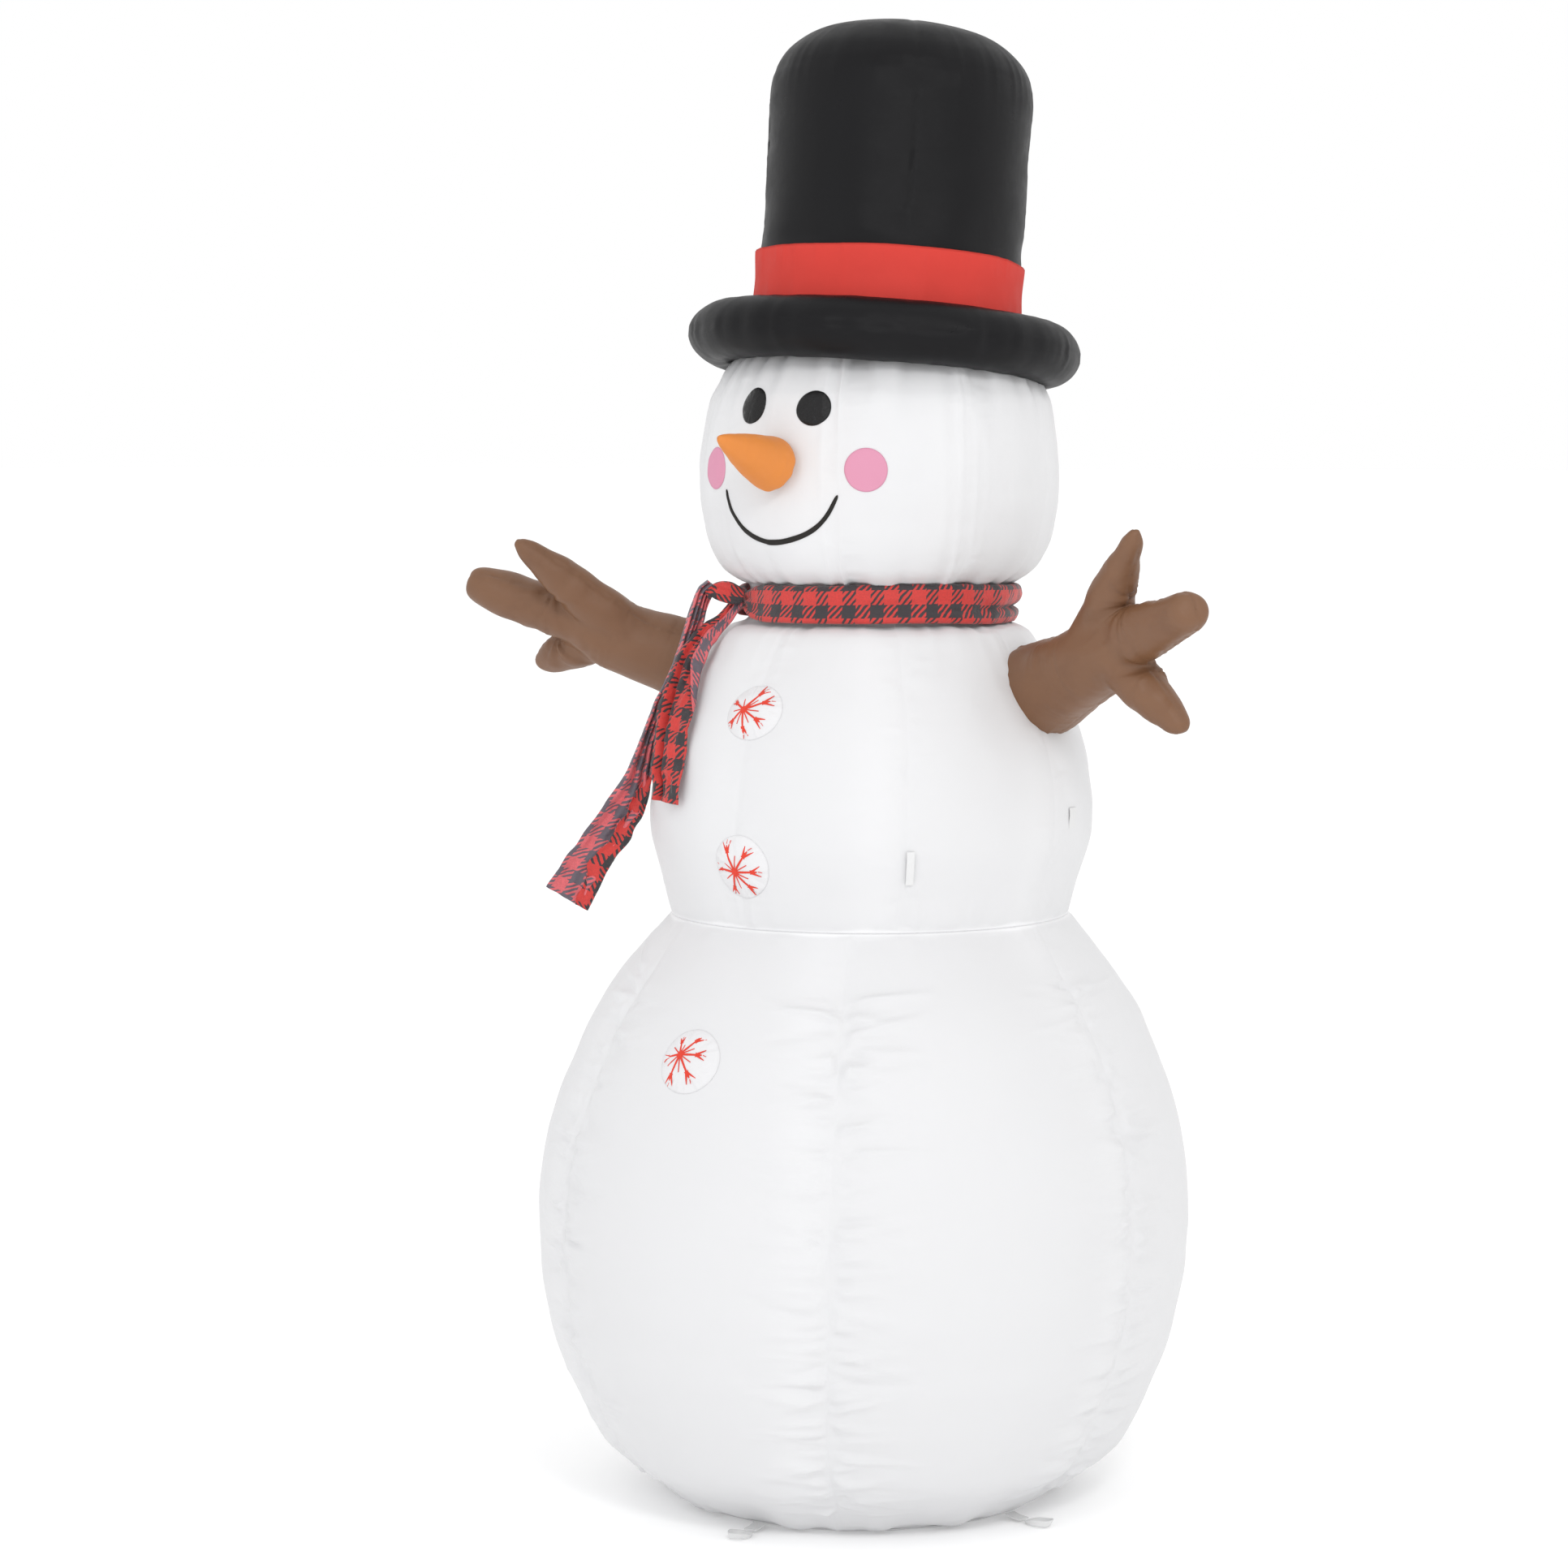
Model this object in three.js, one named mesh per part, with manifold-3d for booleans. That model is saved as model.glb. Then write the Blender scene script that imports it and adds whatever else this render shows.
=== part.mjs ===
// Inflatable yard snowman, 2.4 m tall: three stacked air chambers sewn from thin
// polyester, a stuffed-looking top hat, two twig arms, a tied scarf, an axial
// blower in the back of the lower body, an access zipper and stake loops.
// Millimetres, +Z up, front -Y, the snowman's left side +X.
import * as THREE from 'three';
import Module from 'manifold-3d';

const wasm = await Module();
wasm.setup();

// ---------------------------------------------------------------- dimensions
const HEIGHT = 2400;            // hat top above the ground
const CLOTH = 2;                // modelled thickness of a sewn envelope panel
const GAP = 0.6;                // space kept between neighbouring pieces
const SEG = 24;                 // facets round a body chamber

// chamber profiles as [radius, height]
const LOWER = [[300, 4], [324, 12], [359, 37], [397, 65], [428, 94], [482, 202],
  [516, 311], [531, 419], [528, 528], [508, 636], [466, 744], [409, 851], [373, 898], [319, 956.5]];
const TORSO = [[321, 957.5], [339, 1012], [357, 1072], [361, 1133], [347, 1226], [329, 1279],
  [272, 1385], [254, 1412], [214, 1432], [200, 1462]];
const HEAD = [[200, 1463.5], [209, 1494], [226, 1500], [250, 1517], [268, 1544],
  [284, 1596], [291, 1660], [287, 1728], [277, 1781], [253, 1833], [214, 1875]];

const BASE_R = 300;             // flat underside that rests on the ground
const BASE_T = 3;

const HAT_X = 30, HAT_Y = 22, HAT_Z = 1877.5;   // centre of the brim roll
const HAT_BACK = 5.3, HAT_SIDE = 1.1;           // hat leans back and a little to its left
const BRIM_R = 267, BRIM_ROLL = 49;             // ring radius and roll radius
const CROWN_R = 212.5, CROWN_SIDE = 407, CROWN_TOP = 522;
const BAND_R = 215, BAND_LOW = 53, BAND_HIGH = 138;

const ARM_Z = 1325, ARM_ROOT = 300, ARM_R = 65;
// root azimuth, heading forward of sideways, pitch up and roll (upper twig forward), in degrees
const ARM_POSE = { 1: [98, 26.8, 17.9, 12.6], '-1': [-94, 28.4, 19.8, 47.3] };
const ARM_HOLE = 78;

const NOSE_R = 43, NOSE_LEN = 158, NOSE_Z = 1684, NOSE_UP = 13;
const EYE_W = 58, EYE_H = 56, EYE_Z = 1776, EYE_AZ = [14, -9.6];
const CHEEK_W = 69, CHEEK_H = 68, CHEEK_Z = 1679, CHEEK_AZ = [31.9, -27.2];
const NOSE_AZ = 3;                                    // the face looks a few degrees to its left
const MOUTH_R = 3.6;
const BUTTON_R = 51, BUTTON_T = 17;
const BUTTON_Z = [1299, 1058, 762];

const SCARF_OUT = 229, SCARF_T = 13, SCARF_LOW = 1437, SCARF_HIGH = 1492;
const KNOT_AZ = -44;            // degrees from the front, towards the snowman's right
const TAIL_T = 5;

const FAN_Z = 215, FAN_TILT = 21, FAN_HOLE = 78, FAN_BARREL = 72, FAN_DEPTH = 112;
const FAN_FLANGE = 97;
const IMPELLER_R = 62, BLADES = 7;

const ZIP_LOW = 424, ZIP_HIGH = 452, ZIP_SPAN = 24;   // arc half-angle in degrees
const PULL_OUT = 17;            // pull's pin, outside the skin
const STAKE_AZ = [6, 83, 180, 270];                   // front, left, back, right
const LOOP_W = 22, LOOP_R = 26, LOOP_T = 3;           // stake loops
// ----------------------------------------------------------------------------

const rad = (d) => d * Math.PI / 180;
const root = new THREE.Group();
root.name = 'inflatable_snowman';

const mat = (color, roughness, metalness = 0) =>
  new THREE.MeshStandardMaterial({ color, roughness, metalness });
const WHITE = mat(0xf4f5f7, 0.75), BLACK = mat(0x17181b, 0.4), RED = mat(0xc83e34, 0.4);
const BROWN = mat(0x8c6952, 0.45), ORANGE = mat(0xe8782c, 0.5), PINK = mat(0xe892ac, 0.6);
const INK = mat(0x2b2b28, 0.6), CHECK = mat(0xb02a26, 0.85), WEB = mat(0xeeeeec, 0.8);
const DARKPLASTIC = mat(0x202224, 0.6), GREY = mat(0x55585c, 0.6), STEEL = mat(0xb4b8bc, 0.35, 0.9);
const LED = mat(0xf6f3e6, 0.3), CORD = mat(0x1c1d1f, 0.7);

// the chambers drift slightly to one side as they rise
const LEAN_X = 0.809, LEAN_Y = 0.588;
function lean(z) {
  const k = [[0, 0], [480, 1], [957, 13], [1120, 13], [1400, 22], [1500, 27], [1700, 27], [1880, 33], [2500, 33]];
  if (z <= 0) return 0;
  for (let i = 1; i < k.length; i++) {
    if (z <= k[i][0]) {
      const t = (z - k[i - 1][0]) / (k[i][0] - k[i - 1][0]);
      return k[i - 1][1] + t * (k[i][1] - k[i - 1][1]);
    }
  }
  return 33;
}
function applyLean(g) {
  const p = g.attributes.position;
  for (let i = 0; i < p.count; i++) {
    const s = lean(p.getZ(i));
    p.setXY(i, p.getX(i) + s * LEAN_X, p.getY(i) + s * LEAN_Y);
  }
  return g;
}

function weld(g) {
  const n = g.clone();
  for (const k of Object.keys(n.attributes)) if (k !== 'position') n.deleteAttribute(k);
  n.morphAttributes = {};
  const pos = n.attributes.position, map = new Map(), remap = [], verts = [];
  const count = pos.count;
  for (let i = 0; i < count; i++) {
    const key = [pos.getX(i), pos.getY(i), pos.getZ(i)].map((v) => Math.round(v * 1000)).join(',');
    if (!map.has(key)) { map.set(key, verts.length / 3); verts.push(pos.getX(i), pos.getY(i), pos.getZ(i)); }
    remap[i] = map.get(key);
  }
  const idx = [], src = n.index ? n.index.array : null, m = src ? src.length : count;
  for (let i = 0; i < m; i += 3) {
    const a = remap[src ? src[i] : i], b = remap[src ? src[i + 1] : i + 1], c = remap[src ? src[i + 2] : i + 2];
    if (a !== b && b !== c && a !== c) idx.push(a, b, c);
  }
  let vol = 0;
  for (let i = 0; i < idx.length; i += 3) {
    const [a, b, c] = [idx[i] * 3, idx[i + 1] * 3, idx[i + 2] * 3];
    vol += verts[a] * (verts[b + 1] * verts[c + 2] - verts[b + 2] * verts[c + 1])
      - verts[a + 1] * (verts[b] * verts[c + 2] - verts[b + 2] * verts[c])
      + verts[a + 2] * (verts[b] * verts[c + 1] - verts[b + 1] * verts[c]);
  }
  if (vol < 0) for (let i = 0; i < idx.length; i += 3) [idx[i + 1], idx[i + 2]] = [idx[i + 2], idx[i + 1]];
  const out = new THREE.BufferGeometry();
  out.setAttribute('position', new THREE.Float32BufferAttribute(verts, 3));
  out.setIndex(idx);
  return out;
}
function solid(g) {
  const w = weld(g);
  return new wasm.Manifold(new wasm.Mesh({
    numProp: 3,
    vertProperties: new Float32Array(w.attributes.position.array),
    triVerts: new Uint32Array(w.index.array),
  }));
}
function fromSolid(m) {
  const r = m.getMesh();
  const g = new THREE.BufferGeometry();
  const v = new Float32Array(r.numProp === 3 ? r.vertProperties : r.vertProperties.filter((_, i) => i % r.numProp < 3));
  g.setAttribute('position', new THREE.BufferAttribute(v, 3));
  g.setIndex(Array.from(r.triVerts));
  return g;
}
function add(name, g, material, parent = root) {
  const w = weld(g);
  w.computeVertexNormals();
  const mesh = new THREE.Mesh(w, material);
  mesh.name = name;
  parent.add(mesh);
  return mesh;
}

// a solid of revolution about Z; pts are [radius, height]
function turn(pts, seg = SEG, phase = 0) {
  const g = new THREE.LatheGeometry(pts.map(([r, z]) => new THREE.Vector2(r, z)), seg, phase);
  g.rotateX(Math.PI / 2);
  return g;
}
// thin skin: the outer profile and the same profile moved inwards by t
function skinProfile(pts, t) {
  const inner = pts.map((p, i) => {
    const a = pts[Math.max(0, i - 1)], b = pts[Math.min(pts.length - 1, i + 1)];
    const dx = b[0] - a[0], dz = b[1] - a[1], l = Math.hypot(dx, dz);
    let nx = dz / l, nz = -dx / l;
    if (i === 0 || i === pts.length - 1) { const k = Math.max(nx, 0.35); return [p[0] - t / k, p[1]]; }
    return [p[0] - t * nx, p[1] - t * nz];
  });
  return [...pts, ...inner.reverse(), pts[0]];
}
const skin = (pts, t = CLOTH, seg = SEG) => turn(skinProfile(pts, t), seg);

function radiusAt(profile, z) {
  for (let i = 1; i < profile.length; i++) {
    const [r0, z0] = profile[i - 1], [r1, z1] = profile[i];
    if (z <= z1) return r0 + (r1 - r0) * (z - z0) / (z1 - z0);
  }
  return profile[profile.length - 1][0];
}
function slopeAt(profile, z) {
  return (radiusAt(profile, z + 15) - radiusAt(profile, z - 15)) / 30;
}
// point on a chamber: azimuth from the front (-Y) towards +X, moved out along the normal
function onBody(profile, az, z, out) {
  const r = radiusAt(profile, z), s = slopeAt(profile, z), k = 1 / Math.hypot(1, s);
  const rr = r + out * k, zz = z - out * s * k;
  return new THREE.Vector3(rr * Math.sin(rad(az)), -rr * Math.cos(rad(az)), zz);
}
// a patch that follows the chamber: a disc whose vertices are laid on the surface
function patch(profile, az, z, w, h, t, tilt = 0, seg = 28) {
  const g = new THREE.CylinderGeometry(1, 1, 1, seg, 1);
  const p = g.attributes.position, r = radiusAt(profile, z), c = Math.cos(rad(tilt)), s = Math.sin(rad(tilt));
  for (let i = 0; i < p.count; i++) {
    const u0 = p.getX(i) * w / 2, v0 = p.getZ(i) * h / 2, up = p.getY(i) > 0;
    const u = u0 * c - v0 * s, v = u0 * s + v0 * c;
    const edge = Math.hypot(p.getX(i), p.getZ(i)) > 0.5;
    const q = onBody(profile, az + u / r * 180 / Math.PI, z - v, up ? (edge ? 1.5 + t * 0.5 : 1.5 + t) : 1.5);
    p.setXYZ(i, q.x, q.y, q.z);
  }
  return g;
}
// a flat strip bent through space: section i at pts[i], width along wid[i], thickness along nor[i]
function strip(pts, wid, nor, width, thick) {
  const n = pts.length - 1;
  const g = new THREE.BoxGeometry(1, 1, n, 1, 1, n);
  const p = g.attributes.position;
  for (let i = 0; i < p.count; i++) {
    const k = Math.round(p.getZ(i) + n / 2);
    const w = (typeof width === 'function' ? width(k / n) : width);
    const q = pts[k].clone().addScaledVector(wid[k], p.getX(i) * w).addScaledVector(nor[k], p.getY(i) * thick);
    p.setXYZ(i, q.x, q.y, q.z);
  }
  return g;
}
const shift = (g, x, y, z) => { g.translate(x, y, z); return g; };

// ---------------------------------------------------------------- fan frame
// local w axis = outward along the fan axis, placed on the back of the lower body
const fanY = radiusAt(LOWER, FAN_Z);
const fan = new THREE.Group();
fan.position.set(lean(FAN_Z) * LEAN_X, fanY + lean(FAN_Z) * LEAN_Y, FAN_Z);
fan.rotation.x = -Math.PI / 2 - rad(FAN_TILT);
// local +Z -> world (0, cos, -sin)
root.add(fan);
fan.updateMatrix();
const toFan = (g) => { g.applyMatrix4(fan.matrix); return g; };
const cyl = (r, z0, z1, seg = 32) => turn([[0, z0], [r, z0], [r, z1], [0, z1]], seg);
const ring = (r0, r1, z0, z1, seg = 32) => turn([[r1, z0], [r1, z1], [r0, z1], [r0, z0], [r1, z0]], seg);

// ---------------------------------------------------------------- lower body
const JACK_Z = 330, JACK_X = 118, JACK_R = 8;
const jackY = Math.sqrt(radiusAt(LOWER, JACK_Z) ** 2 - JACK_X ** 2);
let lower = solid(applyLean(skin(LOWER)));
lower = lower.subtract(solid(toFan(cyl(FAN_HOLE, -60, 40, 32))));
{
  const hole = turn([[0, 0], [JACK_R + 1.6, 0], [JACK_R + 1.6, 70], [0, 70]], 20);
  hole.rotateX(-Math.PI / 2);                  // +Z -> +Y
  lower = lower.subtract(solid(shift(hole, JACK_X, jackY - 45, JACK_Z)));
}
add('lower_body_shell', fromSolid(lower), WHITE);
add('base_panel', turn([[0, 0], [BASE_R - 4, 0], [BASE_R - 1, BASE_T], [0, BASE_T]]), WHITE);

// ---------------------------------------------------------------- torso
function armFrame(side) {
  const g = new THREE.Group();
  const s = lean(ARM_Z), [az, fwd, pitch, roll] = ARM_POSE[side].map(rad);
  g.position.set(ARM_ROOT * Math.sin(az) + s * LEAN_X, -ARM_ROOT * Math.cos(az) + s * LEAN_Y, ARM_Z);
  // local +Z runs out along the arm, local +X points up across the fan of twigs
  const flat = new THREE.Vector3(side * Math.cos(fwd), -Math.sin(fwd), 0);
  const back = new THREE.Vector3(side * Math.sin(fwd), Math.cos(fwd), 0), z = new THREE.Vector3(0, 0, 1);
  const out = flat.clone().multiplyScalar(Math.cos(pitch)).addScaledVector(z, Math.sin(pitch));
  const up0 = flat.clone().multiplyScalar(-Math.sin(pitch)).addScaledVector(z, Math.cos(pitch));
  const up = up0.multiplyScalar(Math.cos(roll)).addScaledVector(back, -Math.sin(roll));
  const m = new THREE.Matrix4().makeBasis(up, new THREE.Vector3().crossVectors(out, up), out);
  g.quaternion.setFromRotationMatrix(m);
  g.updateMatrix();
  return g;
}
const armL = armFrame(1), armR = armFrame(-1);
root.add(armL, armR);
let torso = solid(applyLean(skin(TORSO)));
for (const a of [armL, armR]) {
  const c = cyl(ARM_HOLE, -110, 75, 28);
  c.applyMatrix4(a.matrix);
  torso = torso.subtract(solid(c));
}
add('torso_shell', fromSolid(torso), WHITE);

// ---------------------------------------------------------------- head
const hat = new THREE.Group();
hat.position.set(HAT_X, HAT_Y, HAT_Z);
hat.rotation.set(-rad(HAT_BACK), rad(HAT_SIDE), 0);
root.add(hat);
hat.updateMatrix();
{
  let head = solid(applyLean(skin(HEAD)));
  const clear = BRIM_ROLL + GAP + 0.4;
  const roll = [];
  for (let i = 0; i <= 12; i++) roll.push([BRIM_R + clear * 1.03 * Math.cos(i * Math.PI / 6), -clear * 1.03 * Math.sin(i * Math.PI / 6)]);
  const cut = turn([...roll.slice(0, -1), roll[0]], SEG);
  cut.applyMatrix4(hat.matrix);
  const above = cyl(BRIM_R + 60, 0, 200, SEG);
  above.applyMatrix4(hat.matrix);
  head = head.subtract(solid(cut)).subtract(solid(above));
  add('head_shell', fromSolid(head), WHITE);
}

// ---------------------------------------------------------------- hat
{
  // the brim is a roll that stays open towards the inside of the hat
  const arc = (r, a0, a1, n) => Array.from({ length: n + 1 }, (_, i) => {
    const a = rad(a0 + (a1 - a0) * i / n);
    return [BRIM_R + r * Math.cos(a), r * Math.sin(a)];
  });
  const outer = arc(BRIM_ROLL, -155, 155, 9), inner = arc(BRIM_ROLL - CLOTH, 155, -155, 9);
  add('hat_brim', turn([...outer, ...inner, outer[0]], SEG), BLACK, hat);
  const crown = [[CROWN_R - 1, 2], [CROWN_R, 200], [CROWN_R, CROWN_SIDE],
    [CROWN_R - 9, CROWN_SIDE + 32], [CROWN_R - 28, CROWN_SIDE + 62], [CROWN_R - 70, CROWN_SIDE + 91], [CROWN_R - 130, CROWN_SIDE + 108], [0, CROWN_TOP]];
  const inn = crown.map(([r, z], i) => (r === 0 ? [0, z - CLOTH] : [r - CLOTH * (i < 4 ? 1 : 0.6), z - (i < 3 ? 0 : CLOTH)]));
  inn[0][1] = 2;
  add('hat_crown', turn([...crown, ...inn.reverse(), crown[0]].filter((p, i, a) => i === 0 || p[0] !== a[i - 1][0] || p[1] !== a[i - 1][1]), SEG), BLACK, hat);
  add('hat_band', ring(BAND_R - 1.5, BAND_R + 0.4, BAND_LOW, BAND_HIGH, SEG), RED, hat);
}

// ---------------------------------------------------------------- arms
// a branch with three stubby twigs, one hollow skin open at the shoulder
function sprout(len, r0, r1, seg = 16) {
  return [[0, -14], [r0, -14], [(r0 + r1) / 2 + 1, len * 0.5], [r1, len * 0.84], [r1 * 0.7, len * 0.96], [0, len + 1.5]];
}
function armSolid(inset) {
  const d = inset;
  const trunk = [[0, inset ? -86 : -72], [ARM_R - d, inset ? -86 : -72], [64 - d, 70], [61 - d, 185], [54 - d, 245], [42 - d, 285 - d], [0, 302 - d]];
  let s = solid(turn(trunk, 16));
  // [start along arm, height, length, lift angle, root radius, tip radius]
  const twigs = [[205, 30, 234, 29.5, 42, 23], [240, 2, 260, -3.5, 43, 34], [250, -20, 170, -54.5, 42, 26]];
  for (const [at, up, len, lift, r0, r1] of twigs) {
    const g = turn(sprout(len - d, r0 - d, r1 - d), 12);
    g.rotateY(rad(lift));                      // tips the twig from +Z towards +X (up)
    g.translate(up, 0, at);
    s = s.add(solid(g));
  }
  return s;
}
for (const [name, frame] of [['arm_left', armL], ['arm_right', armR]]) {
  add(name, fromSolid(armSolid(0).subtract(armSolid(CLOTH + 0.5))), BROWN, frame);
}

// ---------------------------------------------------------------- face
{
  // carrot: hollow cone, open at the head
  const out = [[NOSE_R - 4, 0], [NOSE_R, 8], [NOSE_R - 6, 34], [NOSE_R - 25, 112], [NOSE_R - 35, 148], [0, NOSE_LEN]];
  const inn = [[0, NOSE_LEN - 8], [NOSE_R - 27.4, 110], [NOSE_R - 8.4, 33], [NOSE_R - 2.5, 8], [NOSE_R - 6.5, 0]];
  const g = turn([...out, ...inn, out[0]], 18);
  g.rotateX(Math.PI / 2 - rad(NOSE_UP));       // +Z -> -Y, tip raised
  const r = radiusAt(HEAD, NOSE_Z) + 11;
  shift(g, 0, -r, NOSE_Z);
  g.rotateZ(rad(NOSE_AZ));
  add('nose_carrot', applyLean(g), ORANGE);
}
['left', 'right'].forEach((n, i) => {
  add('eye_' + n, applyLean(patch(HEAD, EYE_AZ[i], EYE_Z, EYE_W, EYE_H, 2.5)), BLACK);
  add('cheek_' + n, applyLean(patch(HEAD, CHEEK_AZ[i], CHEEK_Z, CHEEK_W, CHEEK_H, 2)), PINK);
});
{
  const pts = [[-20.3, 1648], [-18.3, 1615], [-14.2, 1588], [-8, 1571], [0, 1563], [8, 1570.5], [14, 1582], [19, 1602], [22.8, 1640]]
    .map(([a, z]) => onBody(HEAD, a, z, MOUTH_R + 1.6));
  const curve = new THREE.CatmullRomCurve3(pts);
  const disc = new THREE.Shape();
  for (let i = 0; i < 6; i++) {
    const a = i * Math.PI / 3;
    i ? disc.lineTo(MOUTH_R * Math.cos(a), MOUTH_R * Math.sin(a)) : disc.moveTo(MOUTH_R, 0);
  }
  add('mouth', applyLean(new THREE.ExtrudeGeometry(disc, { steps: 22, extrudePath: curve, bevelEnabled: false })), INK);
}

// ---------------------------------------------------------------- buttons
BUTTON_Z.forEach((z, i) => {
  const profile = i < 2 ? TORSO : LOWER, r = BUTTON_R * [0.98, 1, 1.04][i];
  const g = turn([[0, 0], [r - 3, 0.6], [r, 3], [r - 3, 6], [r * 0.6, BUTTON_T * 0.9], [0, BUTTON_T]], 20);
  const s = slopeAt(profile, z);
  g.rotateX(Math.PI / 2 + Math.atan(s));       // +Z -> outward normal at the front
  const q = onBody(profile, [0, 1, 0][i], z, 1.2);
  add('button_' + ['top', 'middle', 'bottom'][i], applyLean(shift(g, q.x, q.y, q.z)), WHITE);
});

// ---------------------------------------------------------------- scarf
{
  const o = SCARF_OUT, i = SCARF_OUT - SCARF_T, l = SCARF_LOW, h = SCARF_HIGH;
  const wrap = turn([[i + 2, l], [o - 4, l], [o, l + 8], [o, h - 10], [o - 5, h], [i, h], [i + 2, l]], SEG);
  add('scarf_wrap', applyLean(wrap), CHECK);
}
const kr = [Math.sin(rad(KNOT_AZ)), -Math.cos(rad(KNOT_AZ))];     // radial direction at the knot
const knotZ = 1463, ks = lean(1455);
const at = (r, z, t = 0) => new THREE.Vector3(kr[0] * r - kr[1] * t + ks * LEAN_X, kr[1] * r + kr[0] * t + ks * LEAN_Y, z);
{
  const g = new THREE.SphereGeometry(1, 12, 8);
  g.scale(21, 25, 27);
  g.rotateZ(rad(KNOT_AZ) + Math.PI / 2);
  const c = at(SCARF_OUT + 23, knotZ);
  add('scarf_knot', shift(g, c.x, c.y, c.z), CHECK);
}
// the two hanging ends, as the left and right edge of the cloth at stations down its length
const TAIL_FRONT = [
  [[-175.8, -210.5, 1419.1], [-138.9, -210.9, 1396.6]],
  [[-182.2, -221.4, 1408.2], [-138.5, -224.2, 1384.7]],
  [[-184.6, -247.9, 1381.7], [-139.6, -239.8, 1359.2]],
  [[-182, -274.3, 1345.1], [-125.1, -275.1, 1318.4]],
  [[-182.2, -299.2, 1300.7], [-117.8, -299, 1282.3]],
  [[-179.2, -315.6, 1256.2], [-115.2, -315, 1245.9]],
  [[-174.9, -327.3, 1211.6], [-111.2, -328.5, 1208.1]],
  [[-172.3, -332.8, 1179.6], [-110.4, -335.9, 1176.4]],
  [[-168.8, -335.3, 1154], [-112.7, -339.4, 1148.1]]
];
const TAIL_SIDE = [
  [[-195.8, -220.1, 1419], [-179.4, -200.8, 1410.8]],
  [[-201.2, -222.8, 1401.2], [-184.8, -203.5, 1393]],
  [[-213, -231.4, 1364.4], [-196.6, -212.1, 1352.3]],
  [[-228.4, -237.6, 1327.4], [-212, -218.3, 1311.3]],
  [[-248.3, -244.6, 1282.3], [-230.8, -224.5, 1262.1]],
  [[-268.2, -251.7, 1231.7], [-246.5, -228.5, 1212.8]],
  [[-288.2, -258.8, 1182.4], [-260.1, -231, 1155.4]],
  [[-322.4, -273.8, 1132.6], [-278.1, -234.2, 1105.5]],
  [[-357.7, -289.5, 1081.4], [-304.8, -243.7, 1060.9]],
  [[-385.6, -299.9, 1038], [-334.8, -255.6, 1013.4]],
  [[-412.5, -309.6, 995.8], [-361.7, -265.3, 956.3]]
];
function tail(name, edges) {
  const v = edges.map(([a, b]) => [new THREE.Vector3(...a), new THREE.Vector3(...b)]);
  const P = v.map(([a, b]) => a.clone().add(b).multiplyScalar(0.5));
  const W = v.map(([a, b]) => b.clone().sub(a).normalize());
  const width = v.map(([a, b]) => a.distanceTo(b));
  const N = W.map((w, i) => {
    const dir = P[Math.min(i + 1, P.length - 1)].clone().sub(P[Math.max(i - 1, 0)]).normalize();
    return new THREE.Vector3().crossVectors(dir, w).normalize();
  });
  add(name, strip(P, W, N, (u) => width[Math.round(u * (P.length - 1))], TAIL_T), CHECK);
}
tail('scarf_tail_front', TAIL_FRONT);
tail('scarf_tail_side', TAIL_SIDE);

// ---------------------------------------------------------------- labels and tie loops on the torso
{
  const az = 99, z = 1123, P = [], W = [], N = [];
  for (let i = 0; i <= 3; i++) {
    const q = onBody(TORSO, az, z + 17 - i * 11, 2.4);
    P.push(q); W.push(new THREE.Vector3(Math.cos(rad(az)), Math.sin(rad(az)), 0));
    N.push(new THREE.Vector3(Math.sin(rad(az)), -Math.cos(rad(az)), 0));
  }
  add('care_label', applyLean(strip(P, W, N, 24, 0.8)), WEB);
}
[46, 166, -74].forEach((az, k) => {
  // a doubled tape sewn flat along a seam, where a guy rope is tied
  const z = 1062, P = [], W = [], N = [], out = new THREE.Vector3(Math.sin(rad(az)), -Math.cos(rad(az)), 0);
  for (let i = 0; i <= 4; i++) {
    P.push(onBody(TORSO, az, z + 26 - 13 * i, 3));
    W.push(new THREE.Vector3(Math.cos(rad(az)), Math.sin(rad(az)), 0)); N.push(out);
  }
  add('guy_tab_' + (k + 1), applyLean(strip(P, W, N, 12, 3)), WEB);
});

// ---------------------------------------------------------------- stake tabs and loops round the base
['front', 'left', 'back', 'right'].forEach((side, k) => {
  const az = STAKE_AZ[k];
  const g = new THREE.Group();
  g.rotation.z = rad(az - 90);                 // local +X points out
  root.add(g);
  // tab: short tape from the base seam, standing clear of the skin
  const r0 = 330, hingeR = 358;
  const P = [[r0 - 6, 9.5], [r0 + 8, 6], [hingeR - 3, 5]].map(([r, z]) => new THREE.Vector3(r, 0, z));
  const W = P.map(() => new THREE.Vector3(0, 1, 0)), N = P.map(() => new THREE.Vector3(0, 0, 1));
  const tab = solid(strip(P, W, N, LOOP_W, 2));
  add('stake_tab_' + side, fromSolid(tab), WEB, g);
  // loop: flat ring of webbing lying on the ground
  const ringG = turn([[LOOP_R, 0], [LOOP_R, LOOP_T], [LOOP_R - 8, LOOP_T], [LOOP_R - 8, 0], [LOOP_R, 0]], 18);
  add('stake_loop_' + side, shift(ringG, hingeR + LOOP_R, 0, 0.8), WEB, g);
});

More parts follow.
